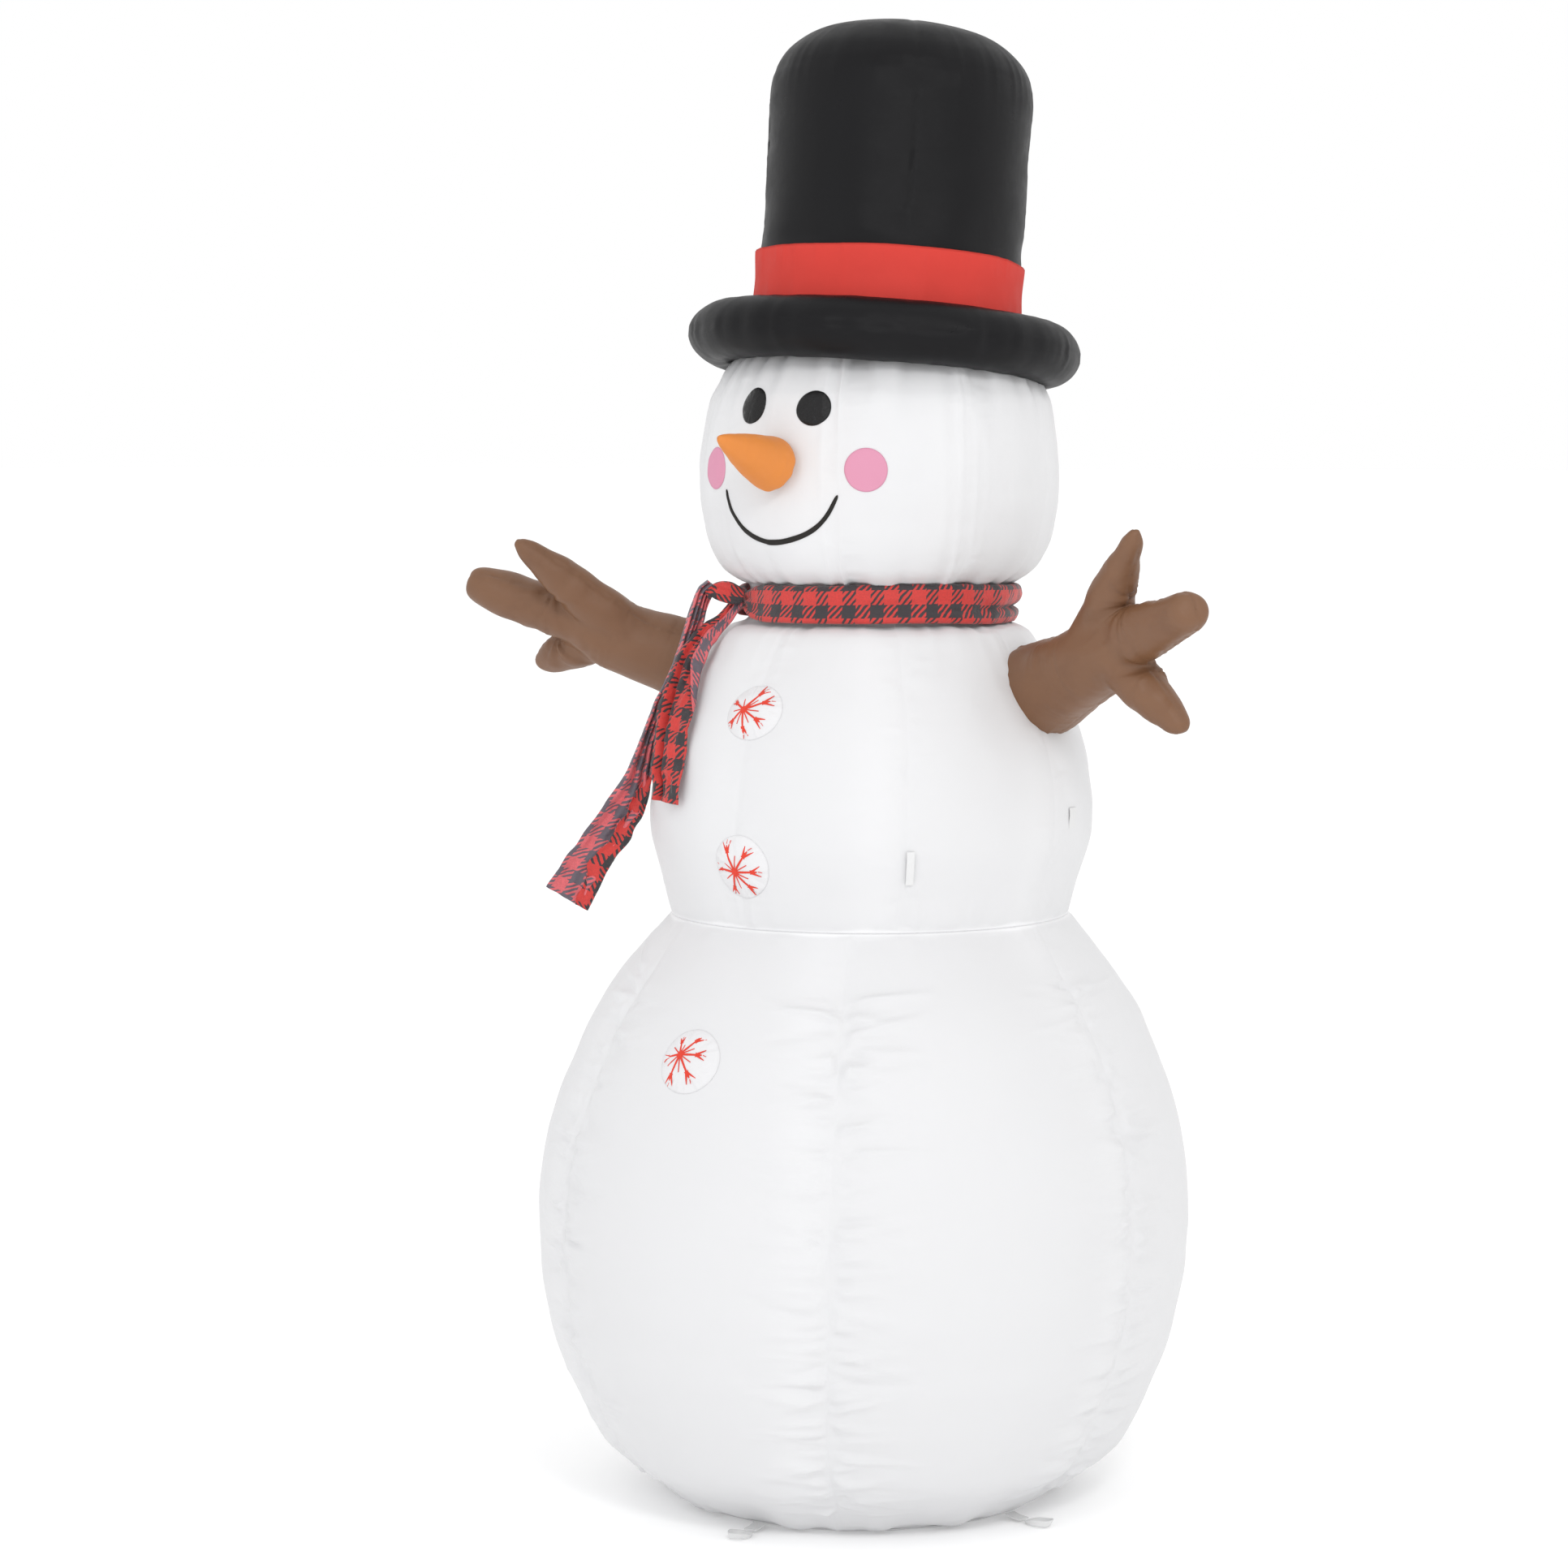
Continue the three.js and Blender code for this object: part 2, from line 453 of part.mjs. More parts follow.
// ---------------------------------------------------------------- blower
{
  // outer flange and barrel in one moulding, open at both ends
  const barrel = turn([[FAN_FLANGE, 0.8], [FAN_FLANGE, 4.8], [FAN_BARREL - 3, 4.8], [FAN_BARREL - 3, -FAN_DEPTH], [FAN_BARREL, -FAN_DEPTH], [FAN_BARREL, 0.8], [FAN_FLANGE, 0.8]], 28);
  add('blower_housing', barrel, DARKPLASTIC, fan);
  // grille: rim, two rings and six spokes
  let gr = solid(ring(FAN_BARREL - 12, FAN_BARREL + 8, 5.6, 11.6, 24));
  gr = gr.add(solid(ring(43, 48, 5.6, 10, 18))).add(solid(cyl(20, 5.6, 10, 12)));
  for (let i = 0; i < 6; i++) {
    const b = new THREE.BoxGeometry(4, FAN_BARREL - 16, 4.4);
    b.translate(0, (FAN_BARREL - 16) / 2 + 10, 7.8);
    b.rotateZ(i * Math.PI / 3);
    gr = gr.add(solid(b));
  }
  add('blower_grille', fromSolid(gr), DARKPLASTIC, fan);
  // ring nut behind the cloth
  add('clamp_ring', ring(FAN_BARREL + 1, FAN_BARREL + 20, -30, -22, 28), DARKPLASTIC, fan);
  // spider that carries the motor, set between the barrel walls
  let sp = solid(ring(20.6, 25, -96, -60, 24));
  for (let i = 0; i < 3; i++) {
    const b = new THREE.BoxGeometry(5, FAN_BARREL - 3 - 23 - 0.5, 14);
    b.translate(0, 23 + (FAN_BARREL - 26 - 0.5) / 2, -84);
    b.rotateZ(i * 2 * Math.PI / 3);
    sp = sp.add(solid(b));
  }
  add('motor_spider', fromSolid(sp), DARKPLASTIC, fan);
  add('blower_motor', turn([[0, -104], [20, -104], [20, -58], [8, -58], [8, -54], [3.2, -54], [3.2, -58.5], [0, -58.5]], 24), STEEL, fan);
  add('motor_shaft', cyl(2, -58, -22, 12), STEEL, fan);
  // impeller: hub and pitched blades, spins on the shaft axis
  let im = solid(turn([[2.6, -49], [17, -49], [17, -24], [12, -20], [2.6, -20], [2.6, -49]], 24));
  for (let i = 0; i < BLADES; i++) {
    const b = new THREE.BoxGeometry(2.4, IMPELLER_R - 15, 30);
    b.rotateY(rad(38));
    b.translate(0, 15 + (IMPELLER_R - 15) / 2, -35);
    b.rotateZ(i * 2 * Math.PI / BLADES);
    im = im.add(solid(b));
  }
  add('impeller', fromSolid(im), GREY, fan);
}
{
  // supply socket beside the blower: a short barrel through the cloth, open outwards
  const j = turn([[3.2, 4], [3.2, 22], [JACK_R, 22], [JACK_R, -10], [0, -10], [0, 4], [3.2, 4]], 20);
  j.rotateX(-Math.PI / 2);
  add('supply_socket', shift(j, JACK_X, jackY, JACK_Z), DARKPLASTIC);
  const n = ring(JACK_R + 0.5, 15, 6.5, 10, 20);
  n.rotateX(-Math.PI / 2);
  add('socket_collar', shift(n, JACK_X, jackY, JACK_Z), DARKPLASTIC);
}

// ---------------------------------------------------------------- zipper across the back
{
  const profile = LOWER, steps = 16, mid = (ZIP_LOW + ZIP_HIGH) / 2;
  const band = (z0, z1, out, thick, a0, a1, n) => {
    const P = [], W = [], N = [];
    for (let i = 0; i <= n; i++) {
      const a = a0 + (a1 - a0) * i / n, q = onBody(profile, a, (z0 + z1) / 2, out);
      P.push(q); W.push(new THREE.Vector3(0, 0, 1)); N.push(new THREE.Vector3(Math.sin(rad(a)), -Math.cos(rad(a)), 0));
    }
    return strip(P, W, N, z1 - z0, thick);
  };
  add('zipper_tape_upper', band(mid + 3.6, ZIP_HIGH, 5.5, 1.4, 180 - ZIP_SPAN, 180 + ZIP_SPAN, steps), WEB);
  add('zipper_tape_lower', band(ZIP_LOW, mid - 3.6, 5.5, 1.4, 180 - ZIP_SPAN, 180 + ZIP_SPAN, steps), WEB);
  add('zipper_chain', band(mid - 3, mid + 3, 6, 2.6, 180 - ZIP_SPAN, 180 + ZIP_SPAN, steps), GREY);
  const r = radiusAt(profile, mid);
  const zipAz = 180 - 20;
  const g = new THREE.Group();
  g.rotation.z = rad(zipAz - 90);
  g.position.set(0, 0, mid);
  root.add(g);
  const body = new THREE.BoxGeometry(4, 11, 13);
  body.translate(r + 10.2, 0, 0);
  const lug = new THREE.BoxGeometry(8, 3, 7);
  lug.translate(r + 15.6, 0, 0);
  const eye = new THREE.CylinderGeometry(1.9, 1.9, 8, 14);
  eye.translate(r + PULL_OUT, 0, 0);
  add('zipper_slider', fromSolid(solid(body).add(solid(lug)).subtract(solid(eye))), STEEL, g);
  // pull: a tag hung from a pin through the slider's eye
  const pin = new THREE.CylinderGeometry(1.3, 1.3, 8.6, 12);
  const cheeks = new THREE.BoxGeometry(2.6, 9, 34);
  cheeks.translate(0, 0, -15.8);
  const gapBox = new THREE.BoxGeometry(6, 4.6, 12);
  gapBox.translate(0, 0, 0.4);
  const tag = solid(cheeks).subtract(solid(gapBox)).add(solid(pin));
  add('zipper_pull', shift(fromSolid(tag), r + PULL_OUT, 0, 0), STEEL, g);
}

// ---------------------------------------------------------------- light string up the middle
{
  const pts = [[0, 338, 300], [0, 250, 330], [0, 120, 360], [0, 40, 480], [10, 10, 700], [14, 10, 960], [16, 12, 1200], [22, 16, 1460], [24, 18, 1700]]
    .map((p) => new THREE.Vector3(...p));
  const curve = new THREE.CatmullRomCurve3(pts);
  const s = new THREE.Shape();
  for (let i = 0; i < 6; i++) {
    const a = i * Math.PI / 3;
    i ? s.lineTo(2.5 * Math.cos(a), 2.5 * Math.sin(a)) : s.moveTo(2.5, 0);
  }
  add('light_lead', new THREE.ExtrudeGeometry(s, { steps: 30, extrudePath: curve, bevelEnabled: false }), CORD);
  [[420, 1], [760, -1], [1180, 1], [1640, -1]].forEach(([z, side], k) => {
    let q = pts[0];
    for (let i = 0; i <= 400; i++) { const c = curve.getPoint(i / 400); if (Math.abs(c.z - z) < Math.abs(q.z - z)) q = c; }
    const g = turn([[0, 0], [22, 0], [22, 6], [16, 13], [0, 16]], 16);
    g.rotateY(side * Math.PI / 2);
    add('led_puck_' + (k + 1), shift(g, q.x + side * 5, q.y, q.z), LED);
  });
}

export default root;
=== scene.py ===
# Blender scene for the inflatable yard snowman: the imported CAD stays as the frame, and every
# sewn, inflated or tied piece gets its own detailed mesh and procedural cloth material.
import math
import bpy
import numpy as np
from mathutils import Vector, Matrix


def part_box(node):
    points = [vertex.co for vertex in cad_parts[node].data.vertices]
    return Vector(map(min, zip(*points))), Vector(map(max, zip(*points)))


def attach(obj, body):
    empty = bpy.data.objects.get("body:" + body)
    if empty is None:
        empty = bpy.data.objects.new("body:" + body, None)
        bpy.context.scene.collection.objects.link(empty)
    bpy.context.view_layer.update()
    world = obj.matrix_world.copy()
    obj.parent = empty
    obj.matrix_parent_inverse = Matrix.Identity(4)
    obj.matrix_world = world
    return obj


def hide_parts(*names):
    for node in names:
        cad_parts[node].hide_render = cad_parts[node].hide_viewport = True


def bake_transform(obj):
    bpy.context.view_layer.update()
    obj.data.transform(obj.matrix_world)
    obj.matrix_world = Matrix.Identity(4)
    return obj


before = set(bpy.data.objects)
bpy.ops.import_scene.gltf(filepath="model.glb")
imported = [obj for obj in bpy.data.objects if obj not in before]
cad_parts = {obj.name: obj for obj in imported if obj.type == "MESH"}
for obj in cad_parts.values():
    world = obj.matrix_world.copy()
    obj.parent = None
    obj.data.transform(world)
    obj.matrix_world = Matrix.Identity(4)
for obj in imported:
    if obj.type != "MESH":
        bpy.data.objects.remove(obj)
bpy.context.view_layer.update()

PI = math.pi
D2R = PI / 180.0

# ------------------------------------------------------------------ camera
AZ = 36.0 * D2R
DIST, CAM_Z, PITCH, FPX = 6.5, 1.70, 4.7097 * D2R, 4911.45
cam_data = bpy.data.cameras.new("camera")
cam = bpy.data.objects.new("camera", cam_data)
bpy.context.scene.collection.objects.link(cam)
cam_data.sensor_width = 36.0
cam_data.lens = 36.0 * FPX / 1932.0
cam_data.shift_x = -96.0 / 1932.0
cam_data.clip_end = 1200.0
cam.location = (DIST * math.sin(AZ), -DIST * math.cos(AZ), CAM_Z)
cam.rotation_euler = (PI / 2 - PITCH, 0.0, AZ)
bpy.context.scene.camera = cam

# ------------------------------------------------------------------ shape data (metres), as in the CAD
LOWER = [(.300, .0045), (.324, .012), (.359, .037), (.397, .065), (.428, .094), (.457, .147), (.482, .202),
         (.503, .256), (.516, .311), (.527, .365), (.531, .419), (.532, .474), (.528, .528), (.520, .582), (.508, .636),
         (.488, .690), (.466, .744), (.441, .798), (.409, .851), (.373, .898), (.340, .938), (.3245, .9563)]
TORSO = [(.3245, .9567), (.330, .975), (.339, 1.012), (.347, 1.039), (.355, 1.066), (.360, 1.092),
         (.361, 1.133), (.357, 1.172), (.347, 1.226), (.329, 1.279), (.303, 1.332), (.272, 1.385), (.254, 1.412),
         (.238, 1.424), (.214, 1.432), (.203, 1.445), (.199, 1.461)]
HEAD = [(.199, 1.4645), (.203, 1.480), (.210, 1.494), (.226, 1.500), (.250, 1.517), (.268, 1.544),
        (.278, 1.570), (.284, 1.596), (.289, 1.623), (.291, 1.655), (.291, 1.690), (.287, 1.728), (.277, 1.781),
        (.267, 1.807), (.253, 1.833), (.236, 1.855), (.214, 1.875)]
LEAN_Z = [0, .480, .957, 1.120, 1.400, 1.500, 1.700, 1.880, 2.5]
LEAN_U = [0, .001, .013, .013, .022, .027, .027, .033, .033]
HAT_AT = Vector((.030, .022, 1.8775))
HAT_ROT = Matrix.Rotation(1.1 * D2R, 4, 'Y') @ Matrix.Rotation(-5.3 * D2R, 4, 'X')
HAT = Matrix.Translation(HAT_AT) @ HAT_ROT
ARM_Z, ARM_ROOT = 1.325, .300
# root azimuth, heading forward, pitch up, roll with the upper twig forward (degrees)
ARM_POSE = {1: (98, 26.8, 17.9, 12.6), -1: (-94, 28.4, 19.8, 47.3)}
FAN_Z, FAN_TILT = .215, 21.0 * D2R


def lean(z):
    return np.interp(z, LEAN_Z, LEAN_U)


def leaned(p):
    s = lean(p[..., 2])
    q = np.array(p, dtype=float)
    q[..., 0] += s * .809
    q[..., 1] += s * .588
    return q


# ------------------------------------------------------------------ smooth seeded noise
def n1(x, wl, seed):
    r = np.random.default_rng(seed).uniform(-1, 1, 1024)
    u = np.asarray(x, dtype=float) / wl
    i = np.floor(u).astype(int)
    t = u - i
    t = t * t * t * (t * (6 * t - 15) + 10)
    return r[i % 1024] * (1 - t) + r[(i + 1) % 1024] * t


def n2(x, y, wx, wy, seed, nx=0):
    r = np.random.default_rng(seed).uniform(-1, 1, (256, 256))
    u, v = np.asarray(x, float) / wx, np.asarray(y, float) / wy
    i, j = np.floor(u).astype(int), np.floor(v).astype(int)
    a, b = u - i, v - j
    a = a * a * a * (a * (6 * a - 15) + 10)
    b = b * b * b * (b * (6 * b - 15) + 10)
    m = nx if nx else 256
    i0, i1 = i % m, (i + 1) % m
    j0, j1 = j % 256, (j + 1) % 256
    return (r[i0, j0] * (1 - a) + r[i1, j0] * a) * (1 - b) + (r[i0, j1] * (1 - a) + r[i1, j1] * a) * b


def n3(p, w, seed):
    """Value noise in space; w is the wavelength along each axis."""
    r = np.random.default_rng(seed).uniform(-1, 1, (32, 32, 32))
    q = p / np.asarray(w, float)
    i = np.floor(q).astype(int)
    t = q - i
    t = t * t * t * (t * (6 * t - 15) + 10)
    out = 0.0
    for dx in (0, 1):
        for dy in (0, 1):
            for dz in (0, 1):
                k = r[(i[..., 0] + dx) % 32, (i[..., 1] + dy) % 32, (i[..., 2] + dz) % 32]
                out = out + k * (t[..., 0] if dx else 1 - t[..., 0]) * (t[..., 1] if dy else 1 - t[..., 1]) * (t[..., 2] if dz else 1 - t[..., 2])
    return out


def ridged(v):
    """Turns smooth noise into narrow creases with soft valleys between."""
    return 1.0 - 2.0 * np.abs(v)


# ------------------------------------------------------------------ mesh helpers
def make(name, verts, faces, smooth=True, mats=(), mat_idx=None, uv=None, attrs=None):
    me = bpy.data.meshes.new(name)
    verts = np.asarray(verts, dtype=np.float32).reshape(-1, 3)
    if isinstance(faces, np.ndarray):
        n, k = faces.shape
        me.vertices.add(len(verts))
        me.vertices.foreach_set("co", verts.ravel())
        me.loops.add(n * k)
        me.loops.foreach_set("vertex_index", faces.astype(np.int32).ravel())
        me.polygons.add(n)
        me.polygons.foreach_set("loop_start", np.arange(0, n * k, k, dtype=np.int32))
        me.update(calc_edges=True)
        me.validate()
    else:
        me.from_pydata([tuple(map(float, v)) for v in verts], [], [tuple(int(i) for i in f) for f in faces])
        me.update()
    if smooth:
        me.polygons.foreach_set("use_smooth", np.ones(len(me.polygons), dtype=bool))
    for m in mats:
        me.materials.append(m)
    if mat_idx is not None:
        me.polygons.foreach_set("material_index", np.asarray(mat_idx, dtype=np.int32))
    if uv is not None:
        lay = me.uv_layers.new(name="Cut")
        vi = np.zeros(len(me.loops), dtype=np.int32)
        me.loops.foreach_get("vertex_index", vi)
        lay.data.foreach_set("uv", np.asarray(uv, dtype=np.float32)[vi].ravel())
    for k, a in (attrs or {}).items():
        at = me.attributes.new(k, 'FLOAT', 'POINT')
        at.data.foreach_set("value", np.asarray(a, dtype=np.float32).ravel())
    me.update()
    ob = bpy.data.objects.new(name, me)
    bpy.context.scene.collection.objects.link(ob)
    return ob


def quads(nu, nv, wrap_u=False, wrap_v=False, off=0, flip=False):
    """Faces of a grid of nu x nv points stored row by row (index = i * nv + j)."""
    iu = np.arange(nu if wrap_u else nu - 1)
    jv = np.arange(nv if wrap_v else nv - 1)
    I, J = np.meshgrid(iu, jv, indexing="ij")
    a = I * nv + J
    b = ((I + 1) % nu) * nv + J
    c = ((I + 1) % nu) * nv + (J + 1) % nv
    d = I * nv + (J + 1) % nv
    f = np.stack([a, b, c, d], -1).reshape(-1, 4)
    return (f[:, ::-1] if flip else f) + off


def transform(pts, m):
    a = np.array(m)
    return pts @ a[:3, :3].T + a[:3, 3]


def grid_normals(P, wrap_u=False, wrap_v=False):
    def diff(A, ax, wrap):
        if wrap:
            return np.roll(A, -1, ax) - np.roll(A, 1, ax)
        return np.gradient(A, axis=ax)
    n = np.cross(diff(P, 0, wrap_u), diff(P, 1, wrap_v))
    return n / np.maximum(np.linalg.norm(n, axis=-1, keepdims=True), 1e-9)


# ------------------------------------------------------------------ materials
def lin(c):
    c = np.asarray(c, float) / 255.0
    return tuple(np.where(c <= 0.04045, c / 12.92, ((c + 0.055) / 1.055) ** 2.4)) + (1.0,)


class Nodes:
    def __init__(self, name):
        self.m = bpy.data.materials.new(name)
        self.m.use_nodes = True
        self.t = self.m.node_tree
        self.t.nodes.clear()
        self.out = self.n("ShaderNodeOutputMaterial")
        self.b = self.n("ShaderNodeBsdfPrincipled")
        self.link(self.b.outputs[0], self.out.inputs["Surface"])

    def n(self, kind, **kw):
        x = self.t.nodes.new(kind)
        for k, v in kw.items():
            setattr(x, k, v)
        return x

    def link(self, a, b):
        self.t.links.new(a, b)

    def math(self, op, a, b=None, c=None, clamp=False):
        x = self.n("ShaderNodeMath", operation=op, use_clamp=clamp)
        for i, v in enumerate((a, b, c)):
            if v is None:
                continue
            if isinstance(v, (int, float)):
                x.inputs[i].default_value = v
            else:
                self.link(v, x.inputs[i])
        return x.outputs[0]

    def mix(self, fac, a, b, blend='MIX'):
        x = self.n("ShaderNodeMix", data_type='RGBA', blend_type=blend)
        if isinstance(fac, (int, float)):
            x.inputs[0].default_value = fac
        else:
            self.link(fac, x.inputs[0])
        for i, v in ((6, a), (7, b)):
            if isinstance(v, tuple):
                x.inputs[i].default_value = v
            else:
                self.link(v, x.inputs[i])
        return x.outputs[2]

    def noise(self, scale, detail=2.0, rough=0.5, vec=None):
        x = self.n("ShaderNodeTexNoise")
        x.inputs["Scale"].default_value = scale
        x.inputs["Detail"].default_value = detail
        x.inputs["Roughness"].default_value = rough
        if vec is not None:
            self.link(vec, x.inputs["Vector"])
        return x.outputs[0]

    def coords(self):
        if not hasattr(self, "_co"):
            self._co = self.n("ShaderNodeTexCoord").outputs["Object"]
        return self._co

    def ramp(self, fac, lo, hi, out0=0.0, out1=1.0):
        x = self.n("ShaderNodeMapRange")
        self.link(fac, x.inputs[0])
        x.inputs[1].default_value, x.inputs[2].default_value = lo, hi
        x.inputs[3].default_value, x.inputs[4].default_value = out0, out1
        return x.outputs[0]

    def bump(self, height, dist, strength=1.0, prev=None):
        x = self.n("ShaderNodeBump")
        x.inputs["Strength"].default_value = strength
        x.inputs["Distance"].default_value = dist
        self.link(height, x.inputs["Height"])
        if prev is not None:
            self.link(prev, x.inputs["Normal"])
        return x.outputs[0]

    def weave(self, pitch):
        """Plain weave in object space: crossed threads along three axes."""
        co = self.coords()
        s = self.n("ShaderNodeSeparateXYZ")
        self.link(co, s.inputs[0])
        k = 2 * PI / pitch
        h = self.math('MULTIPLY', self.math('ADD', s.outputs[0], s.outputs[1]), k)
        v = self.math('MULTIPLY', s.outputs[2], k)
        return self.math('MULTIPLY', self.math('SINE', h), self.math('SINE', v))


def cloth(name, base, rough=0.7, sheen=0.15, weave=0.0016, weave_h=0.00012, tone=0.05, seam_dark=0.0, crinkle=0.0006, crinkle_scale=38.0,
          spec=0.35, coat=0.0, trans=0.0, dark=None, band=0.0, edge_spec=None):
    k = Nodes(name)
    b = k.b
    big = k.noise(3.1, 3.0, 0.55, k.coords())
    col = k.mix(k.ramp(big, 0.3, 0.7), tuple(c * (1 - tone) for c in base[:3]) + (1.0,), base)
    fine = k.noise(crinkle_scale, 4.0, 0.6, k.coords())
    if dark is not None:
        col = k.mix(k.ramp(fine, 0.52, 0.74, 0.0, 0.5), col, dark)
    # painted highlight: the band mask lifts the base colour to a brighter copy on one side of each seam, where sheen
    # and the light make a bright strip
    if band:
        at = k.n("ShaderNodeAttribute", attribute_name="seam")
        col = k.mix(k.math('MULTIPLY', at.outputs["Fac"], band, clamp=True), col, tuple(min(c * 1.12, .9) for c in base[:3]) + (1.0,))
        # painted glow: emission at the chamber's ends lifts the shade in the fold where two chambers meet, standing in
        # for light that comes through the skin from inside
        b.inputs["Emission Color"].default_value = (1.0, 1.0, 1.0, 1.0)
        k.link(k.math('MULTIPLY', k.math('SUBTRACT', at.outputs["Fac"], 1.0, clamp=True), .085), b.inputs["Emission Strength"])
    if seam_dark:
        at = k.n("ShaderNodeAttribute", attribute_name="seam")
        col = k.mix(k.math('MULTIPLY', at.outputs["Fac"], seam_dark, clamp=True), col, tuple(c * 0.55 for c in base[:3]) + (1.0,))
    k.link(col, b.inputs["Base Color"])
    k.link(k.ramp(fine, 0.3, 0.7, rough - 0.06, rough + 0.06), b.inputs["Roughness"])
    b.inputs["Specular IOR Level"].default_value = spec
    if edge_spec is not None:
        lw = k.n("ShaderNodeLayerWeight")
        lw.inputs["Blend"].default_value = .5
        k.link(k.ramp(lw.outputs["Facing"], .25, .95, spec, edge_spec), b.inputs["Specular IOR Level"])
    b.inputs["Sheen Weight"].default_value = sheen
    b.inputs["Sheen Roughness"].default_value = 0.45
    b.inputs["Coat Weight"].default_value = coat
    n = k.bump(k.weave(weave), weave_h, 0.6)
    n = k.bump(fine, crinkle, 0.7, n)
    k.link(n, b.inputs["Normal"])
    return k.m


# band=.22 paints a highlight strip beside each seam and a painted glow at the chamber ends
WHITE = cloth("white_polyester", (.720, .720, .729, 1), 0.50, 0.03, tone=0.012, seam_dark=0.0, crinkle=0.0006, crinkle_scale=30, spec=.45, band=.22)
BUTTON = cloth("button_cloth", (.745, .742, .752, 1), 0.60, 0.03, tone=0.02, crinkle=0.0008, crinkle_scale=60, seam_dark=0.10)
BLACK = cloth("black_satin", (.0070, .0068, .0078, 1), 0.33, 0.0, tone=0.2, seam_dark=0.3, crinkle=0.0006, crinkle_scale=24, spec=0.15, edge_spec=.015)
RED = cloth("red_satin", (.67, .058, .045, 1), 0.50, 0.0, tone=0.08, seam_dark=0.4, crinkle=0.0007, crinkle_scale=26, spec=0.10, edge_spec=.01)
BROWN = cloth("brown_satin", (.204, .099, .050, 1), 0.40, 0.0, tone=0.10, seam_dark=0.15, crinkle=0.0007, crinkle_scale=15, spec=0.40, edge_spec=.10, dark=(.160, .076, .040, 1))
ORANGE = cloth("orange_satin", (.73, .245, .045, 1), 0.55, 0.0, tone=0.08, seam_dark=0.4, crinkle=0.0006, crinkle_scale=40, spec=0.4)
PINK = cloth("pink_patch", (.69, .295, .420, 1), 0.68, 0.0, tone=0.08, crinkle=0.0005, crinkle_scale=60)
EYE = cloth("eye_satin", (.0065, .0060, .0065, 1), 0.26, 0.0, tone=0.2, crinkle=0.0022, crinkle_scale=70, spec=0.30)
INK = cloth("mouth_print", (.020, .018, .016, 1), 0.6, 0.02, spec=0.2, tone=0.1, crinkle=0.0003)
PRINT = cloth("red_print", lin((222, 62, 42)), 0.6, 0.05, tone=0.08, crinkle=0.0003, crinkle_scale=60)
TAPE = cloth("white_tape", lin((228, 228, 228)), 0.75, 0.1, weave=0.0022, weave_h=0.0003, tone=0.05)
LABEL = cloth("label_satin", lin((222, 222, 222)), 0.5, 0.1, tone=0.05)


def plaid(name, red, black, rough):
    k = Nodes(name)
    uvn = k.n("ShaderNodeUVMap", uv_map="Cut")
    s = k.n("ShaderNodeSeparateXYZ")
    k.link(uvn.outputs[0], s.inputs[0])
    P, H = 0.0440, 0.0125
    wob = k.math('MULTIPLY', k.math('SUBTRACT', k.noise(55.0, 2.0, 0.5, k.coords()), 0.5), 0.0035)
    u = k.math('ADD', s.outputs[0], wob)
    v = k.math('ADD', s.outputs[1], wob)
    fr = lambda x, p: k.math('FRACT', k.math('DIVIDE', x, p))
    a = k.math('LESS_THAN', fr(u, P), 0.48)
    c = k.math('LESS_THAN', fr(v, P), 0.48)
    d = k.math('LESS_THAN', fr(k.math('ADD', k.math('MULTIPLY', u, 1.25), v), H), 0.45)
    pick = k.math('ADD', k.math('MULTIPLY', a, d), k.math('MULTIPLY', c, k.math('SUBTRACT', 1.0, d)))
    fleck = k.noise(420.0, 2.0, 0.6, k.coords())
    r = k.mix(k.ramp(fleck, 0.35, 0.65), tuple(x * 0.82 for x in red[:3]) + (1.0,), red)
    col = k.mix(pick, r, black)
    k.link(col, k.b.inputs["Base Color"])
    k.link(k.ramp(fleck, 0.3, 0.7, rough - 0.05, rough + 0.05), k.b.inputs["Roughness"])
    k.b.inputs["Sheen Weight"].default_value = 0.2
    n = k.bump(k.math('SINE', k.math('MULTIPLY', k.math('ADD', u, v), 2 * PI / 0.0016)), 0.00012, 0.5)
    n = k.bump(k.noise(52.0, 4.0, 0.6, k.coords()), 0.0022, 0.85, n)
    k.link(n, k.b.inputs["Normal"])
    return k.m


CHECK = plaid("check_face", lin((206, 52, 46)), lin((46, 40, 44)), 0.6)
CHECK_BACK = plaid("check_reverse", lin((218, 100, 106)), lin((94, 84, 94)), 0.55)


def moulded(name, base, rough, metal=0.0, scale=260.0, h=0.00008):
    k = Nodes(name)
    f = k.noise(scale, 3.0, 0.6, k.coords())
    k.link(k.mix(k.ramp(k.noise(9.0, 3.0, 0.5, k.coords()), 0.35, 0.7), tuple(c * 0.85 for c in base[:3]) + (1.0,), base), k.b.inputs["Base Color"])
    k.link(k.ramp(f, 0.3, 0.7, rough - 0.07, rough + 0.07), k.b.inputs["Roughness"])
    k.b.inputs["Metallic"].default_value = metal
    k.link(k.bump(f, h, 0.6), k.b.inputs["Normal"])
    return k.m


PLASTIC = moulded("black_plastic", lin((42, 43, 45)), 0.55)
GREY = moulded("grey_plastic", lin((112, 116, 120)), 0.5)
STEEL = moulded("zinc", lin((178, 180, 182)), 0.35, 0.9, 180.0)
LED = moulded("led_lens", lin((240, 238, 228)), 0.25)
JACKET = moulded("cord_jacket", lin((36, 36, 38)), 0.6)


# ------------------------------------------------------------------ chambers
def catmull(pts, n):
    p = np.asarray(pts, float)
    q = np.vstack([2 * p[0] - p[1], p, 2 * p[-1] - p[-2]])
    out = []
    for i in range(1, len(q) - 2):
        t = np.linspace(0, 1, n, endpoint=False)[:, None]
        a, b, c, d = q[i - 1], q[i], q[i + 1], q[i + 2]
        out.append(0.5 * ((2 * b) + (-a + c) * t + (2 * a - 5 * b + 4 * c - d) * t ** 2 + (-a + 3 * b - 3 * c + d) * t ** 3))
    out.append(p[-1:])
    return np.vstack(out)


